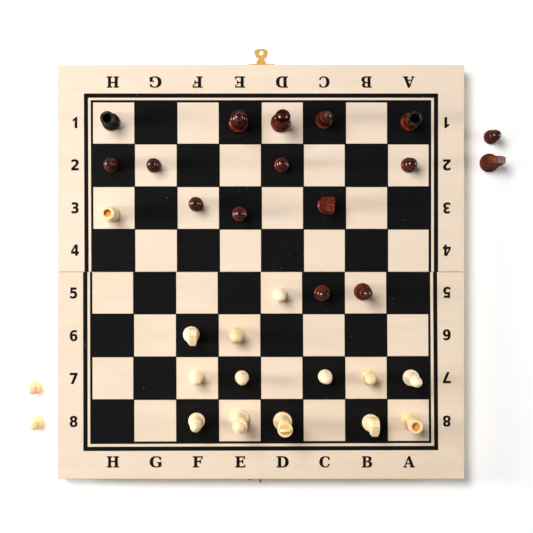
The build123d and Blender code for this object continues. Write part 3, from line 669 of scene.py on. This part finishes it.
# ===================================================================== glyphs
# generic serif capitals and plain digits, as outline loops on a 1493-unit body
GLYPHS = {
    "A": [
        [458, -30, 458, 151, 295, 151, 395, 396, 916, 396, 1015, 151, 883, 151, 883, -30, 1642, -30, 1642, 151, 1490,
         151, 927, 1523, 648, 1523, 86, 151, -46, 151, -46, -30],
        [657, 1051, 843, 577, 469, 577],
    ],
    "B": [
        [926, -30, 1063, -26, 1186, -13, 1294, 9, 1388, 39, 1466, 80, 1532, 130, 1583, 191, 1619, 262, 1641, 343,
         1648, 432, 1643, 500, 1627, 563, 1601, 620, 1564, 673, 1517, 718, 1461, 757, 1397, 790, 1324, 815, 1244,
         833, 1220, 815, 1230, 795, 1296, 811, 1355, 832, 1407, 858, 1453, 890, 1491, 927, 1520, 969, 1542, 1016,
         1554, 1068, 1558, 1124, 1553, 1199, 1534, 1268, 1504, 1329, 1461, 1381, 1408, 1426, 1343, 1461, 1268, 1489,
         1183, 1508, 1087, 1519, 982, 1523, 66, 1523, 66, 1342, 257, 1342, 257, 151, 66, 151, 66, -30],
        [702, 1342, 803, 1342, 868, 1340, 924, 1333, 972, 1322, 1011, 1307, 1042, 1289, 1066, 1267, 1086, 1239, 1099,
         1208, 1108, 1169, 1111, 1124, 1108, 1079, 1099, 1041, 1085, 1008, 1065, 980, 1040, 956, 1008, 937, 968, 921,
         921, 910, 865, 902, 803, 900, 702, 900],
        [702, 720, 814, 720, 884, 717, 945, 708, 997, 694, 1041, 673, 1077, 648, 1106, 617, 1130, 581, 1146, 539,
         1156, 489, 1160, 432, 1156, 376, 1146, 326, 1130, 285, 1107, 250, 1079, 220, 1042, 196, 999, 176, 946, 162,
         884, 154, 814, 151, 702, 151],
    ],
    "C": [
        [1305, 456, 1280, 372, 1257, 318, 1232, 271, 1202, 231, 1170, 197, 1134, 171, 1093, 150, 1048, 134, 999, 125,
         946, 122, 868, 128, 799, 146, 739, 176, 688, 216, 645, 269, 610, 335, 581, 416, 561, 511, 548, 621, 544,
         745, 548, 869, 561, 979, 581, 1074, 610, 1155, 645, 1221, 688, 1275, 739, 1316, 799, 1345, 866, 1363, 944,
         1369, 1005, 1365, 1061, 1355, 1111, 1337, 1156, 1314, 1196, 1284, 1232, 1245, 1262, 1201, 1289, 1147, 1311,
         1086, 1335, 994, 1515, 994, 1515, 1411, 1431, 1444, 1368, 1466, 1307, 1486, 1246, 1503, 1187, 1517, 1128,
         1530, 1071, 1538, 1014, 1545, 958, 1549, 902, 1550, 754, 1542, 618, 1516, 494, 1473, 383, 1412, 285, 1334,
         202, 1240, 138, 1134, 92, 1016, 65, 886, 56, 745, 65, 604, 92, 474, 138, 357, 202, 251, 285, 158, 383, 79,
         494, 18, 618, -25, 754, -51, 903, -59, 1005, -55, 1099, -40, 1185, -17, 1263, 16, 1332, 59, 1392, 112, 1445,
         174, 1490, 246, 1527, 327, 1567, 456],
    ],
    "D": [
        [702, 1342, 810, 1342, 896, 1336, 970, 1319, 1032, 1292, 1086, 1254, 1130, 1204, 1166, 1143, 1194, 1066,
         1215, 975, 1228, 869, 1232, 748, 1228, 626, 1215, 520, 1194, 428, 1166, 351, 1130, 289, 1085, 239, 1032,
         201, 969, 174, 896, 157, 810, 151, 702, 151],
        [863, -30, 1018, -22, 1160, 2, 1287, 41, 1400, 97, 1496, 170, 1577, 258, 1640, 361, 1685, 477, 1711, 606,
         1720, 748, 1711, 890, 1685, 1018, 1640, 1133, 1578, 1235, 1497, 1323, 1400, 1396, 1287, 1452, 1160, 1491,
         1018, 1515, 863, 1523, 66, 1523, 66, 1342, 257, 1342, 257, 151, 66, 151, 66, -30],
    ],
    "E": [
        [1486, -30, 1486, 382, 1289, 382, 1289, 167, 702, 167, 702, 711, 1033, 711, 1033, 521, 1230, 521, 1230, 1097,
         1033, 1097, 1033, 907, 702, 907, 702, 1326, 1270, 1326, 1270, 1111, 1468, 1111, 1468, 1523, 66, 1523, 66,
         1342, 257, 1342, 257, 151, 66, 151, 66, -30],
    ],
    "F": [
        [939, -30, 939, 151, 704, 151, 704, 711, 1023, 711, 1023, 521, 1220, 521, 1220, 1097, 1023, 1097, 1023, 907,
         704, 907, 704, 1326, 1260, 1326, 1260, 1111, 1457, 1111, 1457, 1523, 66, 1523, 66, 1342, 257, 1342, 257,
         151, 66, 151, 66, -30],
    ],
    "G": [
        [1566, 994, 1566, 1411, 1484, 1444, 1420, 1467, 1356, 1486, 1293, 1503, 1230, 1517, 1167, 1530, 1103, 1538,
         1039, 1545, 974, 1549, 908, 1550, 758, 1542, 620, 1516, 495, 1473, 383, 1413, 285, 1335, 202, 1242, 138,
         1136, 92, 1017, 65, 887, 56, 745, 65, 603, 92, 472, 138, 355, 202, 249, 285, 156, 383, 78, 495, 18, 620,
         -25, 758, -51, 909, -59, 980, -57, 1051, -53, 1120, -45, 1189, -35, 1259, -20, 1327, -3, 1395, 17, 1463, 41,
         1532, 67, 1617, 106, 1617, 728, 1019, 728, 1019, 548, 1199, 548, 1199, 185, 1191, 180, 1167, 168, 1143, 157,
         1117, 148, 1090, 140, 1063, 133, 1034, 129, 1004, 125, 974, 123, 943, 122, 864, 128, 795, 145, 736, 175,
         685, 214, 643, 267, 609, 333, 580, 414, 561, 510, 548, 620, 544, 745, 548, 871, 561, 982, 582, 1078, 610,
         1159, 647, 1225, 692, 1276, 745, 1316, 807, 1346, 880, 1363, 963, 1369, 1033, 1365, 1095, 1356, 1150, 1339,
         1199, 1316, 1240, 1287, 1276, 1252, 1307, 1206, 1336, 1152, 1360, 1090, 1386, 994],
    ],
    "H": [
        [894, -30, 894, 151, 702, 151, 702, 703, 1236, 703, 1236, 151, 1045, 151, 1045, -30, 1873, -30, 1873, 151,
         1681, 151, 1681, 1342, 1873, 1342, 1873, 1523, 1045, 1523, 1045, 1342, 1236, 1342, 1236, 900, 702, 900, 702,
         1342, 894, 1342, 894, 1523, 66, 1523, 66, 1342, 257, 1342, 257, 151, 66, 151, 66, -30],
    ],
    "2": [
        [929, 541, 1005, 609, 1069, 672, 1123, 730, 1167, 782, 1200, 830, 1224, 875, 1242, 924, 1256, 972, 1264,
         1022, 1267, 1073, 1261, 1159, 1242, 1237, 1210, 1308, 1165, 1371, 1107, 1426, 1039, 1470, 961, 1506, 873,
         1530, 777, 1545, 672, 1550, 622, 1549, 572, 1546, 521, 1542, 470, 1536, 418, 1528, 366, 1517, 314, 1505,
         262, 1492, 209, 1477, 136, 1454, 136, 1051, 229, 1107, 275, 1132, 320, 1155, 363, 1174, 405, 1190, 446,
         1203, 485, 1214, 522, 1221, 557, 1225, 592, 1227, 633, 1224, 671, 1218, 704, 1206, 733, 1191, 760, 1171,
         781, 1148, 798, 1121, 810, 1092, 817, 1060, 820, 1023, 819, 1000, 815, 977, 808, 953, 800, 930, 789, 908,
         774, 885, 757, 860, 737, 836, 714, 811, 687, 786, 132, 297, 132, -30, 1277, -30, 1277, 313, 652, 306],
    ],
    "3": [
        [1015, 793, 1064, 813, 1109, 839, 1148, 868, 1181, 903, 1209, 943, 1230, 986, 1245, 1033, 1254, 1084, 1257,
         1137, 1251, 1215, 1232, 1286, 1200, 1349, 1156, 1403, 1099, 1449, 1031, 1486, 951, 1515, 861, 1535, 760,
         1546, 647, 1550, 603, 1549, 558, 1547, 514, 1544, 469, 1540, 423, 1534, 377, 1527, 331, 1518, 285, 1508,
         240, 1497, 171, 1479, 171, 1129, 250, 1162, 286, 1176, 323, 1187, 360, 1198, 397, 1207, 433, 1214, 470,
         1219, 506, 1224, 542, 1226, 578, 1227, 623, 1225, 665, 1219, 700, 1211, 730, 1200, 756, 1185, 777, 1169,
         792, 1149, 803, 1129, 809, 1105, 812, 1077, 809, 1047, 803, 1021, 791, 1000, 776, 980, 755, 963, 728, 950,
         694, 938, 654, 930, 608, 925, 554, 923, 363, 923, 363, 615, 547, 615, 607, 613, 660, 607, 706, 597, 745,
         583, 778, 566, 803, 548, 822, 526, 836, 501, 844, 472, 847, 438, 844, 405, 836, 377, 823, 353, 804, 331,
         780, 311, 748, 294, 710, 281, 667, 271, 617, 265, 561, 263, 521, 264, 481, 267, 441, 273, 400, 280, 359,
         289, 318, 302, 276, 315, 234, 331, 192, 348, 107, 390, 107, 23, 173, 2, 220, -11, 268, -22, 314, -32, 361,
         -40, 408, -47, 455, -52, 502, -56, 549, -58, 596, -59, 722, -54, 837, -41, 940, -16, 1031, 18, 1109, 61,
         1174, 116, 1226, 180, 1263, 252, 1285, 334, 1292, 424, 1289, 486, 1278, 542, 1262, 595, 1238, 644, 1207,
         689, 1169, 728, 1126, 763, 1077, 792],
    ],
    "4": [
        [724, 581, 388, 581, 734, 1112],
        [62, 611, 62, 242, 724, 242, 724, -30, 1148, -30, 1148, 242, 1361, 242, 1361, 581, 1148, 581, 1148, 1523,
         674, 1523],
    ],
    "5": [
        [187, 609, 271, 642, 311, 657, 351, 670, 389, 681, 426, 691, 461, 697, 497, 703, 531, 708, 563, 710, 596,
         711, 647, 708, 691, 701, 732, 689, 766, 671, 797, 650, 822, 625, 842, 596, 855, 564, 864, 527, 867, 487,
         864, 447, 855, 411, 842, 379, 822, 350, 796, 325, 766, 303, 732, 286, 691, 273, 647, 266, 596, 263, 559,
         264, 520, 269, 481, 275, 440, 284, 399, 297, 356, 311, 312, 329, 267, 350, 220, 373, 128, 424, 128, 49, 197,
         23, 248, 5, 298, -10, 349, -23, 400, -33, 450, -43, 502, -50, 554, -55, 605, -58, 657, -59, 772, -54, 879,
         -36, 975, -8, 1060, 33, 1135, 85, 1199, 148, 1248, 219, 1285, 300, 1305, 390, 1312, 487, 1306, 584, 1287,
         674, 1254, 755, 1209, 827, 1150, 890, 1080, 943, 1000, 983, 911, 1011, 812, 1029, 706, 1034, 685, 1034, 665,
         1033, 647, 1032, 627, 1030, 608, 1028, 589, 1024, 571, 1020, 554, 1018, 554, 1180, 1204, 1180, 1204, 1523,
         187, 1523],
    ],
    "6": [
        [776, 704, 805, 698, 830, 687, 852, 672, 870, 653, 885, 629, 897, 600, 906, 563, 912, 522, 914, 475, 912,
         428, 906, 387, 897, 350, 885, 321, 870, 297, 852, 278, 830, 263, 805, 252, 776, 246, 741, 243, 707, 246,
         677, 252, 653, 263, 632, 278, 614, 297, 598, 321, 586, 350, 577, 387, 571, 428, 569, 475, 571, 522, 577,
         563, 586, 600, 598, 629, 614, 653, 632, 672, 653, 687, 677, 698, 707, 704, 741, 707],
        [1188, 1495, 1149, 1506, 1109, 1516, 1070, 1524, 1030, 1532, 990, 1538, 949, 1542, 908, 1545, 867, 1547, 824,
         1548, 697, 1540, 578, 1513, 471, 1469, 375, 1407, 291, 1326, 220, 1232, 166, 1123, 128, 1003, 104, 870, 97,
         725, 103, 584, 124, 457, 156, 341, 203, 238, 263, 149, 337, 74, 420, 16, 515, -27, 622, -51, 737, -59, 842,
         -53, 939, -35, 1027, -5, 1107, 38, 1178, 94, 1239, 159, 1285, 232, 1319, 314, 1339, 404, 1345, 500, 1339,
         587, 1322, 669, 1291, 745, 1249, 812, 1195, 873, 1132, 924, 1061, 964, 982, 993, 897, 1010, 805, 1015, 767,
         1014, 730, 1011, 696, 1006, 661, 998, 628, 989, 596, 978, 564, 964, 534, 948, 529, 944, 533, 952, 549, 1014,
         569, 1066, 596, 1112, 627, 1149, 664, 1180, 707, 1205, 757, 1222, 812, 1232, 874, 1236, 905, 1235, 936,
         1233, 966, 1228, 999, 1223, 1031, 1215, 1064, 1206, 1097, 1196, 1132, 1182, 1167, 1167, 1247, 1132, 1247,
         1476],
    ],
    "7": [
        [107, 1180, 809, 1180, 258, -30, 699, -30, 1292, 1269, 1292, 1523, 107, 1523],
    ],
    "8": [
        [750, 636, 783, 630, 810, 620, 835, 606, 855, 589, 873, 568, 885, 542, 896, 512, 902, 479, 904, 440, 902,
         401, 896, 368, 885, 339, 873, 314, 855, 293, 835, 275, 810, 261, 783, 251, 750, 245, 713, 243, 676, 245,
         643, 251, 613, 261, 589, 275, 569, 293, 551, 314, 537, 339, 527, 368, 521, 401, 519, 440, 521, 479, 527,
         512, 537, 542, 551, 566, 569, 588, 589, 605, 614, 620, 643, 630, 676, 636, 713, 638],
        [363, 804, 308, 780, 259, 751, 216, 716, 179, 677, 149, 634, 125, 587, 108, 534, 98, 479, 95, 420, 101, 331,
         120, 251, 152, 178, 197, 114, 256, 60, 325, 17, 405, -16, 497, -41, 599, -54, 713, -59, 826, -54, 928, -41,
         1020, -16, 1100, 17, 1168, 60, 1227, 114, 1271, 178, 1303, 251, 1322, 331, 1328, 420, 1325, 479, 1315, 534,
         1298, 587, 1274, 635, 1243, 677, 1208, 716, 1164, 751, 1115, 780, 1054, 785, 1103, 809, 1147, 835, 1186,
         867, 1219, 902, 1248, 942, 1269, 985, 1284, 1031, 1293, 1081, 1296, 1133, 1290, 1210, 1271, 1280, 1241,
         1344, 1198, 1399, 1142, 1447, 1076, 1484, 1000, 1514, 914, 1534, 819, 1546, 713, 1550, 606, 1546, 511, 1534,
         424, 1513, 348, 1484, 282, 1446, 226, 1399, 183, 1343, 153, 1281, 134, 1210, 128, 1133, 131, 1081, 140,
         1031, 155, 985, 176, 942, 204, 902, 237, 867, 276, 835, 320, 809],
        [554, 1124, 559, 1150, 567, 1172, 579, 1192, 593, 1208, 610, 1222, 630, 1233, 653, 1241, 682, 1246, 713,
         1248, 743, 1246, 771, 1241, 794, 1233, 814, 1223, 831, 1208, 845, 1193, 856, 1174, 864, 1151, 869, 1124,
         871, 1094, 869, 1064, 864, 1037, 856, 1014, 845, 995, 831, 979, 814, 965, 794, 954, 771, 946, 743, 941, 713,
         939, 682, 941, 653, 946, 630, 954, 610, 965, 593, 979, 579, 995, 567, 1015, 559, 1037, 554, 1064, 552, 1094],
    ],
    "1": [
        [590, -30, 990, -30, 990, 1523, 712, 1523, 617, 1351, 487, 1262, 300, 1202, 300, 913, 511, 957, 590, 1006],
    ],
}


def glyph_mesh(ch, width, height, x, y, turned, z0, z1):
    """A closed letter or digit, centred on x, y; turned letters face the other player."""
    loops = [[(c[i], c[i + 1]) for i in range(0, len(c), 2)] for c in GLYPHS[ch]]
    xs = [p[0] for c in loops for p in c]
    ys = [p[1] for c in loops for p in c]
    sx, sy = width / (max(xs) - min(xs)), height / (max(ys) - min(ys))
    mx, my = (max(xs) + min(xs)) / 2, (max(ys) + min(ys)) / 2
    s = -1 if turned else 1
    curve = bpy.data.curves.new("g", "CURVE")
    curve.dimensions, curve.fill_mode = "2D", "BOTH"
    curve.extrude = (z1 - z0) / 2
    for c in loops:
        sp = curve.splines.new("POLY")
        sp.points.add(len(c) - 1)
        for p, q in zip(sp.points, c):
            p.co = (s * (q[0] - mx) * sx + x, s * (q[1] - my) * sy + y, 0, 1)
        sp.use_cyclic_u = True
    obj = bpy.data.objects.new("g", curve)
    bpy.context.scene.collection.objects.link(obj)
    mesh = applied(obj)
    bpy.data.curves.remove(curve)
    mesh.transform(Matrix.Translation((0, 0, (z0 + z1) / 2)))
    return mesh


def joined(name, meshes, mats, scale=MM):
    bm = bmesh.new()
    for m in meshes:
        bm.from_mesh(m)
        bpy.data.meshes.remove(m)
    bmesh.ops.remove_doubles(bm, verts=bm.verts, dist=1e-4)
    bmesh.ops.recalc_face_normals(bm, faces=bm.faces)
    mesh = bpy.data.meshes.new(name)
    bm.to_mesh(mesh)
    bm.free()
    mesh.transform(Matrix.Scale(scale, 4))
    mesh.materials.clear()
    for m in mats:
        mesh.materials.append(m)
    obj = bpy.data.objects.new(name, mesh)
    bpy.context.scene.collection.objects.link(obj)
    return obj


# ============================================================ the board's print
Z0, Z1 = TOP - 0.02, TOP + 0.03
GROW = 0.33                       # the ink spreads a little past each square

FAR_ODD = [(-89.65, -59.0), (-29.85, 0.7), (29.7, 60.35), (89.3, 120.6)]
FAR_EVEN = [(-120.25, -89.1), (-59.7, -29.1), (-0.1, 30.5), (59.3, 90.1)]
FAR_ROWS = [120.4, 90.65, 60.4, 30.25, 0.13]
NEAR_ODD = [(-90.85, -60.2), (-30.9, -0.2), (28.9, 59.4), (88.55, 119.85)]
NEAR_EVEN = [(-121.3, -90.1), (-60.6, -30.1), (-0.85, 29.65), (58.9, 89.25)]
NEAR_ROWS = [-0.13, -29.85, -60.2, -90.5, -120.6]


def far_warp(x, y):
    return x + 0.21 - (y / 120.0) * 0.45 * (1 - (x + 120) / 240.0), y


def near_warp(x, y):
    return x + 0.21 + (-y / 120.0) * (0.2 + 0.6 * (x + 120) / 240.0), y - y * 0.003 * (x + 75) / 140.0


def squares(rows, odd, even):
    out = []
    for i in range(4):
        top, low = rows[i], rows[i + 1]
        hi = top + (GROW if i else 0.0)
        lo = low - (GROW if i < 3 else 0.0)
        for a, b in (odd if i % 2 == 0 else even):
            out.append((a, b, lo, hi))
    return out


far_rects = squares(FAR_ROWS, FAR_ODD, FAR_EVEN) + [
    (-120.4, -118.75, 0.13, 121.8), (118.75, 120.6, 0.13, 121.8), (-120.4, 120.6, 120.1, 121.8),
    (-125.2, -122.25, 0.13, 126.5), (122.45, 125.5, 0.13, 126.5), (-125.2, 125.5, 123.45, 126.5)]
near_rects = squares(NEAR_ROWS, NEAR_ODD, NEAR_EVEN) + [
    (-121.35, -119.65, -121.9, -0.13), (118.2, 119.85, -121.9, -0.13), (-121.35, 119.85, -121.9, -120.2),
    (-126.25, -123.15, -126.9, -0.13), (121.85, 124.75, -126.9, -0.13), (-126.25, 124.75, -126.9, -123.85)]
for body, rects, warp, name in (("far_leaf", far_rects, far_warp, "print_squares_far"),
                                ("near_leaf", near_rects, near_warp, "print_squares_near")):
    v, f = rect_union(rects, warp, Z0, Z1)
    o = new_object(name, v, f, [INK], smooth=False)
    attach(o, body)

LETTER = {"H": 8.8, "G": 8.5, "F": 7.1, "E": 7.2, "D": 8.6, "C": 7.6, "B": 7.4, "A": 8.2}
DIGIT = {"1": 3.3, "2": 5.3, "3": 5.1, "4": 5.6, "5": 5.1, "6": 5.5, "7": 5.6, "8": 5.5}
far_glyphs, near_glyphs = [], []
for ch, x in zip("HGFEDCBA", (-104.7, -74.4, -44.6, -14.5, 15.2, 45.2, 75.2, 105.1)):
    far_glyphs.append(glyph_mesh(ch, LETTER[ch], 8.1, x - 0.22, 134.6, True, Z0, Z1))
for ch, x in zip("HGFEDCBA", (-104.6, -74.4, -44.5, -14.4, 15.7, 45.5, 75.5, 105.4)):
    near_glyphs.append(glyph_mesh(ch, LETTER[ch], 8.1, x - 0.22, -134.7, False, Z0, Z1))
for ch, y in zip("1234", (105.9, 75.9, 45.4, 15.4)):
    far_glyphs.append(glyph_mesh(ch, DIGIT[ch], 8.0, -131.72, y, False, Z0, Z1))
    far_glyphs.append(glyph_mesh(ch, DIGIT[ch], 8.0, 131.88, y - 0.1, True, Z0, Z1))
for ch, y in zip("5678", (-15.0, -45.2, -75.5, -106.1)):
    near_glyphs.append(glyph_mesh(ch, DIGIT[ch], 8.0, -132.72, y, False, Z0, Z1))
for ch, y in zip("5678", (-14.5, -44.6, -75.0, -105.8)):
    near_glyphs.append(glyph_mesh(ch, DIGIT[ch], 8.0, 131.88, y, True, Z0, Z1))
for meshes, body, name in ((far_glyphs, "far_leaf", "print_letters_far"), (near_glyphs, "near_leaf", "print_letters_near")):
    o = joined(name, meshes, [INK])
    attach(o, body)


# ============================================================ the board itself
def eased(node, mats, width=0.3, limit=40.0):
    """A copy of a CAD piece with its sharp arrises sanded, standing for the node."""
    src = NODES[node]
    mesh = src.data.copy()
    mesh.transform(src.matrix_world)
    mesh.name = node + "_finish"
    mesh.materials.clear()
    for m in mats:
        mesh.materials.append(m)
    obj = bpy.data.objects.new(node + "_finish", mesh)
    bpy.context.scene.collection.objects.link(obj)
    bm = bmesh.new()
    bm.from_mesh(mesh)
    bmesh.ops.remove_doubles(bm, verts=bm.verts, dist=1e-6)
    bmesh.ops.dissolve_limit(bm, angle_limit=math.radians(1.0), verts=bm.verts, edges=bm.edges)
    bm.to_mesh(mesh)
    bm.free()
    b = obj.modifiers.new("ease", "BEVEL")
    b.width, b.segments, b.limit_method, b.angle_limit = width * MM, 2, "ANGLE", math.radians(limit)
    b.harden_normals = False
    out = applied(obj)
    out.name = node + "_finish"
    for p in out.polygons:
        p.use_smooth = False
        p.material_index = 0
    res = bpy.data.objects.new(node + "_finish", out)
    bpy.context.scene.collection.objects.link(res)
    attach(res, BODY_OF[node])
    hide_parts(node)
    return res


eased("far_panel", [M_PANEL_FAR], 0.25)
eased("near_panel", [M_PANEL_NEAR], 0.25)
for leaf in ("far", "near"):
    for where in ("fold", "outer", "left", "right"):
        eased("%s_rail_%s" % (leaf, where), [M_RAIL_X if where in ("fold", "outer") else M_RAIL_Y], 0.2)

for n in NODES:
    if n.startswith("hinge_") or n.startswith("clasp_") or n.startswith("catch_"):
        paint(NODES[n], M_BRASS_OLD if n == "catch_stud" else M_BRASS)

# ============================================================ the chess pieces
for idx, (name, kind, x, y, z, k, kz, turn, extra) in enumerate(PIECES):
    dark = name.startswith("dark")
    if name == "dark_rook_h1":
        wood, hole = M_BLACK, M_DARK_BORE_SHADE
    elif dark:
        wood, hole = M_DARK[idx % 3], M_DARK_BORE_SHADE
    else:
        wood, hole = M_LIGHT[TONE.get(name[-2:], 1)], M_LIGHT_HOLE
    if kind == "knight":
        mesh = carve_knight(name + "_carved", k, kz, turn, extra)
        mesh.materials.clear()
        mesh.materials.append(wood)
        for p in mesh.polygons:
            p.use_smooth = True
        obj = bpy.data.objects.new(name + "_carved", mesh)
        obj.location = (x * MM, y * MM, z * MM)
        bpy.context.scene.collection.objects.link(obj)
    else:
        steps = PROFILES[kind]
        if kind == "rook":
            steps = ROOK + [("L", extra / k, 28.0), ("L", extra / k, 24.0), ("L", 0, 23.2)]
        if kind == "king":
            steps = steps[:-2] + [("L", 3.8, 42.4), ("L", 3.8, 41.9), ("L", 0, 41.9)]
        pts = outline(steps, k, kz)
        v, f, spans = lathe(pts, 96, 0.004, idx * 1.7)
        index = [0] * len(f)
        if kind == "rook":
            index = [1 if max(pts[j][0], pts[j + 1][0]) < extra + 0.02 and pts[j][1] > 23 * kz else 0 for j in spans]
        if kind == "king":
            fv, ff = king_fin(k, kz, extra)
            n = len(v)
            v += fv
            f += [tuple(n + i for i in q) for q in ff]
            index = [1 if pts[j][0] < 3.85 * k and pts[j][1] > 41.8 * kz else 0 for j in spans] + [0] * len(ff)
            hole = M_LIGHT_CUT if not dark else M_DARK_CUT_SHADE
        # above these heights the dark pieces take the darker top material: painted shade on their heads and crowns
        if dark and name != "dark_rook_h1":
            top = {"pawn": 15.2, "bishop": 26.0, "queen": 36.0, "king": 38.0, "rook": 25.5}[kind] * kz
            index = [2 if i == 0 and pts[j][1] > top else i for i, j in zip(index, spans)] + index[len(spans):]
            if kind == "king":
                index[len(spans):] = [2] * (len(index) - len(spans))
        obj = new_object(name + "_turned", v, f,
                         [wood, hole, M_BLACK if name == "dark_rook_a1" else M_DARK_TOP_SHADED], (x, y, z), True, index)
    # each piece was set down by hand, so its grain faces its own way
    if kind not in ("knight", "king"):
        obj.rotation_euler = (0, 0, math.radians((idx * 67) % 360))
    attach(obj, BODY_OF[name])
    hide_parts(name)

# ================================================================== the stage
floor_mat = Mat("floor", Roughness=0.9, Specular_IOR_Level=0.1)
floor_mat.b.inputs["Base Color"].default_value = (0.97, 0.97, 0.97, 1)
floor_mat.b.inputs["Emission Color"].default_value = (1, 1, 1, 1)
floor_mat.b.inputs["Emission Strength"].default_value = 0.12
floor = new_object("floor", [(-3000, -3000, -0.02), (3000, -3000, -0.02), (3000, 3000, -0.02), (-3000, 3000, -0.02)],
                   [(0, 1, 2, 3)], [floor_mat.m], smooth=False)


def softbox(name, at, size, power, aim=(0, 0, 0), colour=(1, 1, 1), mirrored=True, lit=True):
    light = bpy.data.lights.new(name, "AREA")
    light.shape = "RECTANGLE"
    light.size, light.size_y = size
    light.energy = power
    light.color = colour
    obj = bpy.data.objects.new(name, light)
    obj.visible_glossy = mirrored
    obj.visible_diffuse = lit
    obj.location = at
    d = Vector(aim) - Vector(at)
    obj.rotation_euler = d.to_track_quat("-Z", "Y").to_euler()
    bpy.context.scene.collection.objects.link(obj)
    return obj


# a strong strip on the left, a weaker one on the right, and a soft top light that
# stays out of the glossy reflections; the gleams show only as highlights
softbox("strip_left", (-1.00, 0.02, 0.15), (0.24, 1.20), 14.0, aim=(0, 0, 0.03))
softbox("strip_right", (1.0, 0.02, 0.14), (0.18, 0.9), 4.2, aim=(0, 0, 0.03))
softbox("gleam_left", (-1.02, 0.02, 0.20), (0.34, 1.10), 10.0, aim=(0, 0, 0.03), lit=False)
softbox("gleam_right", (1.02, 0.02, 0.17), (0.26, 0.9), 4.0, aim=(0, 0, 0.03), lit=False)
softbox("top", (-0.46, 0.44, 1.50), (0.52, 0.56), 23.0, mirrored=False)
world = bpy.data.worlds.new("studio")
world.use_nodes = True
world.node_tree.nodes["Background"].inputs["Color"].default_value = (1, 1, 1, 1)
world.node_tree.nodes["Background"].inputs["Strength"].default_value = 0.04
bpy.context.scene.world = world

scene = bpy.context.scene
scene.view_settings.view_transform = "Standard"
scene.view_settings.look = "None"

# ================================================================= the camera
# straight down on the board, from 0.88 m above its playing surface; the frame is
# 377.9 mm wide there, and the point below the camera is left of and above its middle
CAM_X, CAM_Y, CAM_H = -23.0, 22.6, 880.0
WIDE = 377.9
cam = bpy.data.cameras.new("camera")
cam.sensor_width = 36.0
cam.lens = 36.0 * CAM_H / WIDE
cam.shift_x = (4.03 - CAM_X) / WIDE
cam.shift_y = (3.83 - CAM_Y) / WIDE
cam.clip_start, cam.clip_end = 0.05, 20.0
camera = bpy.data.objects.new("camera", cam)
camera.location = (CAM_X * MM, CAM_Y * MM, (TOP + CAM_H) * MM)
bpy.context.scene.collection.objects.link(camera)
scene.camera = camera
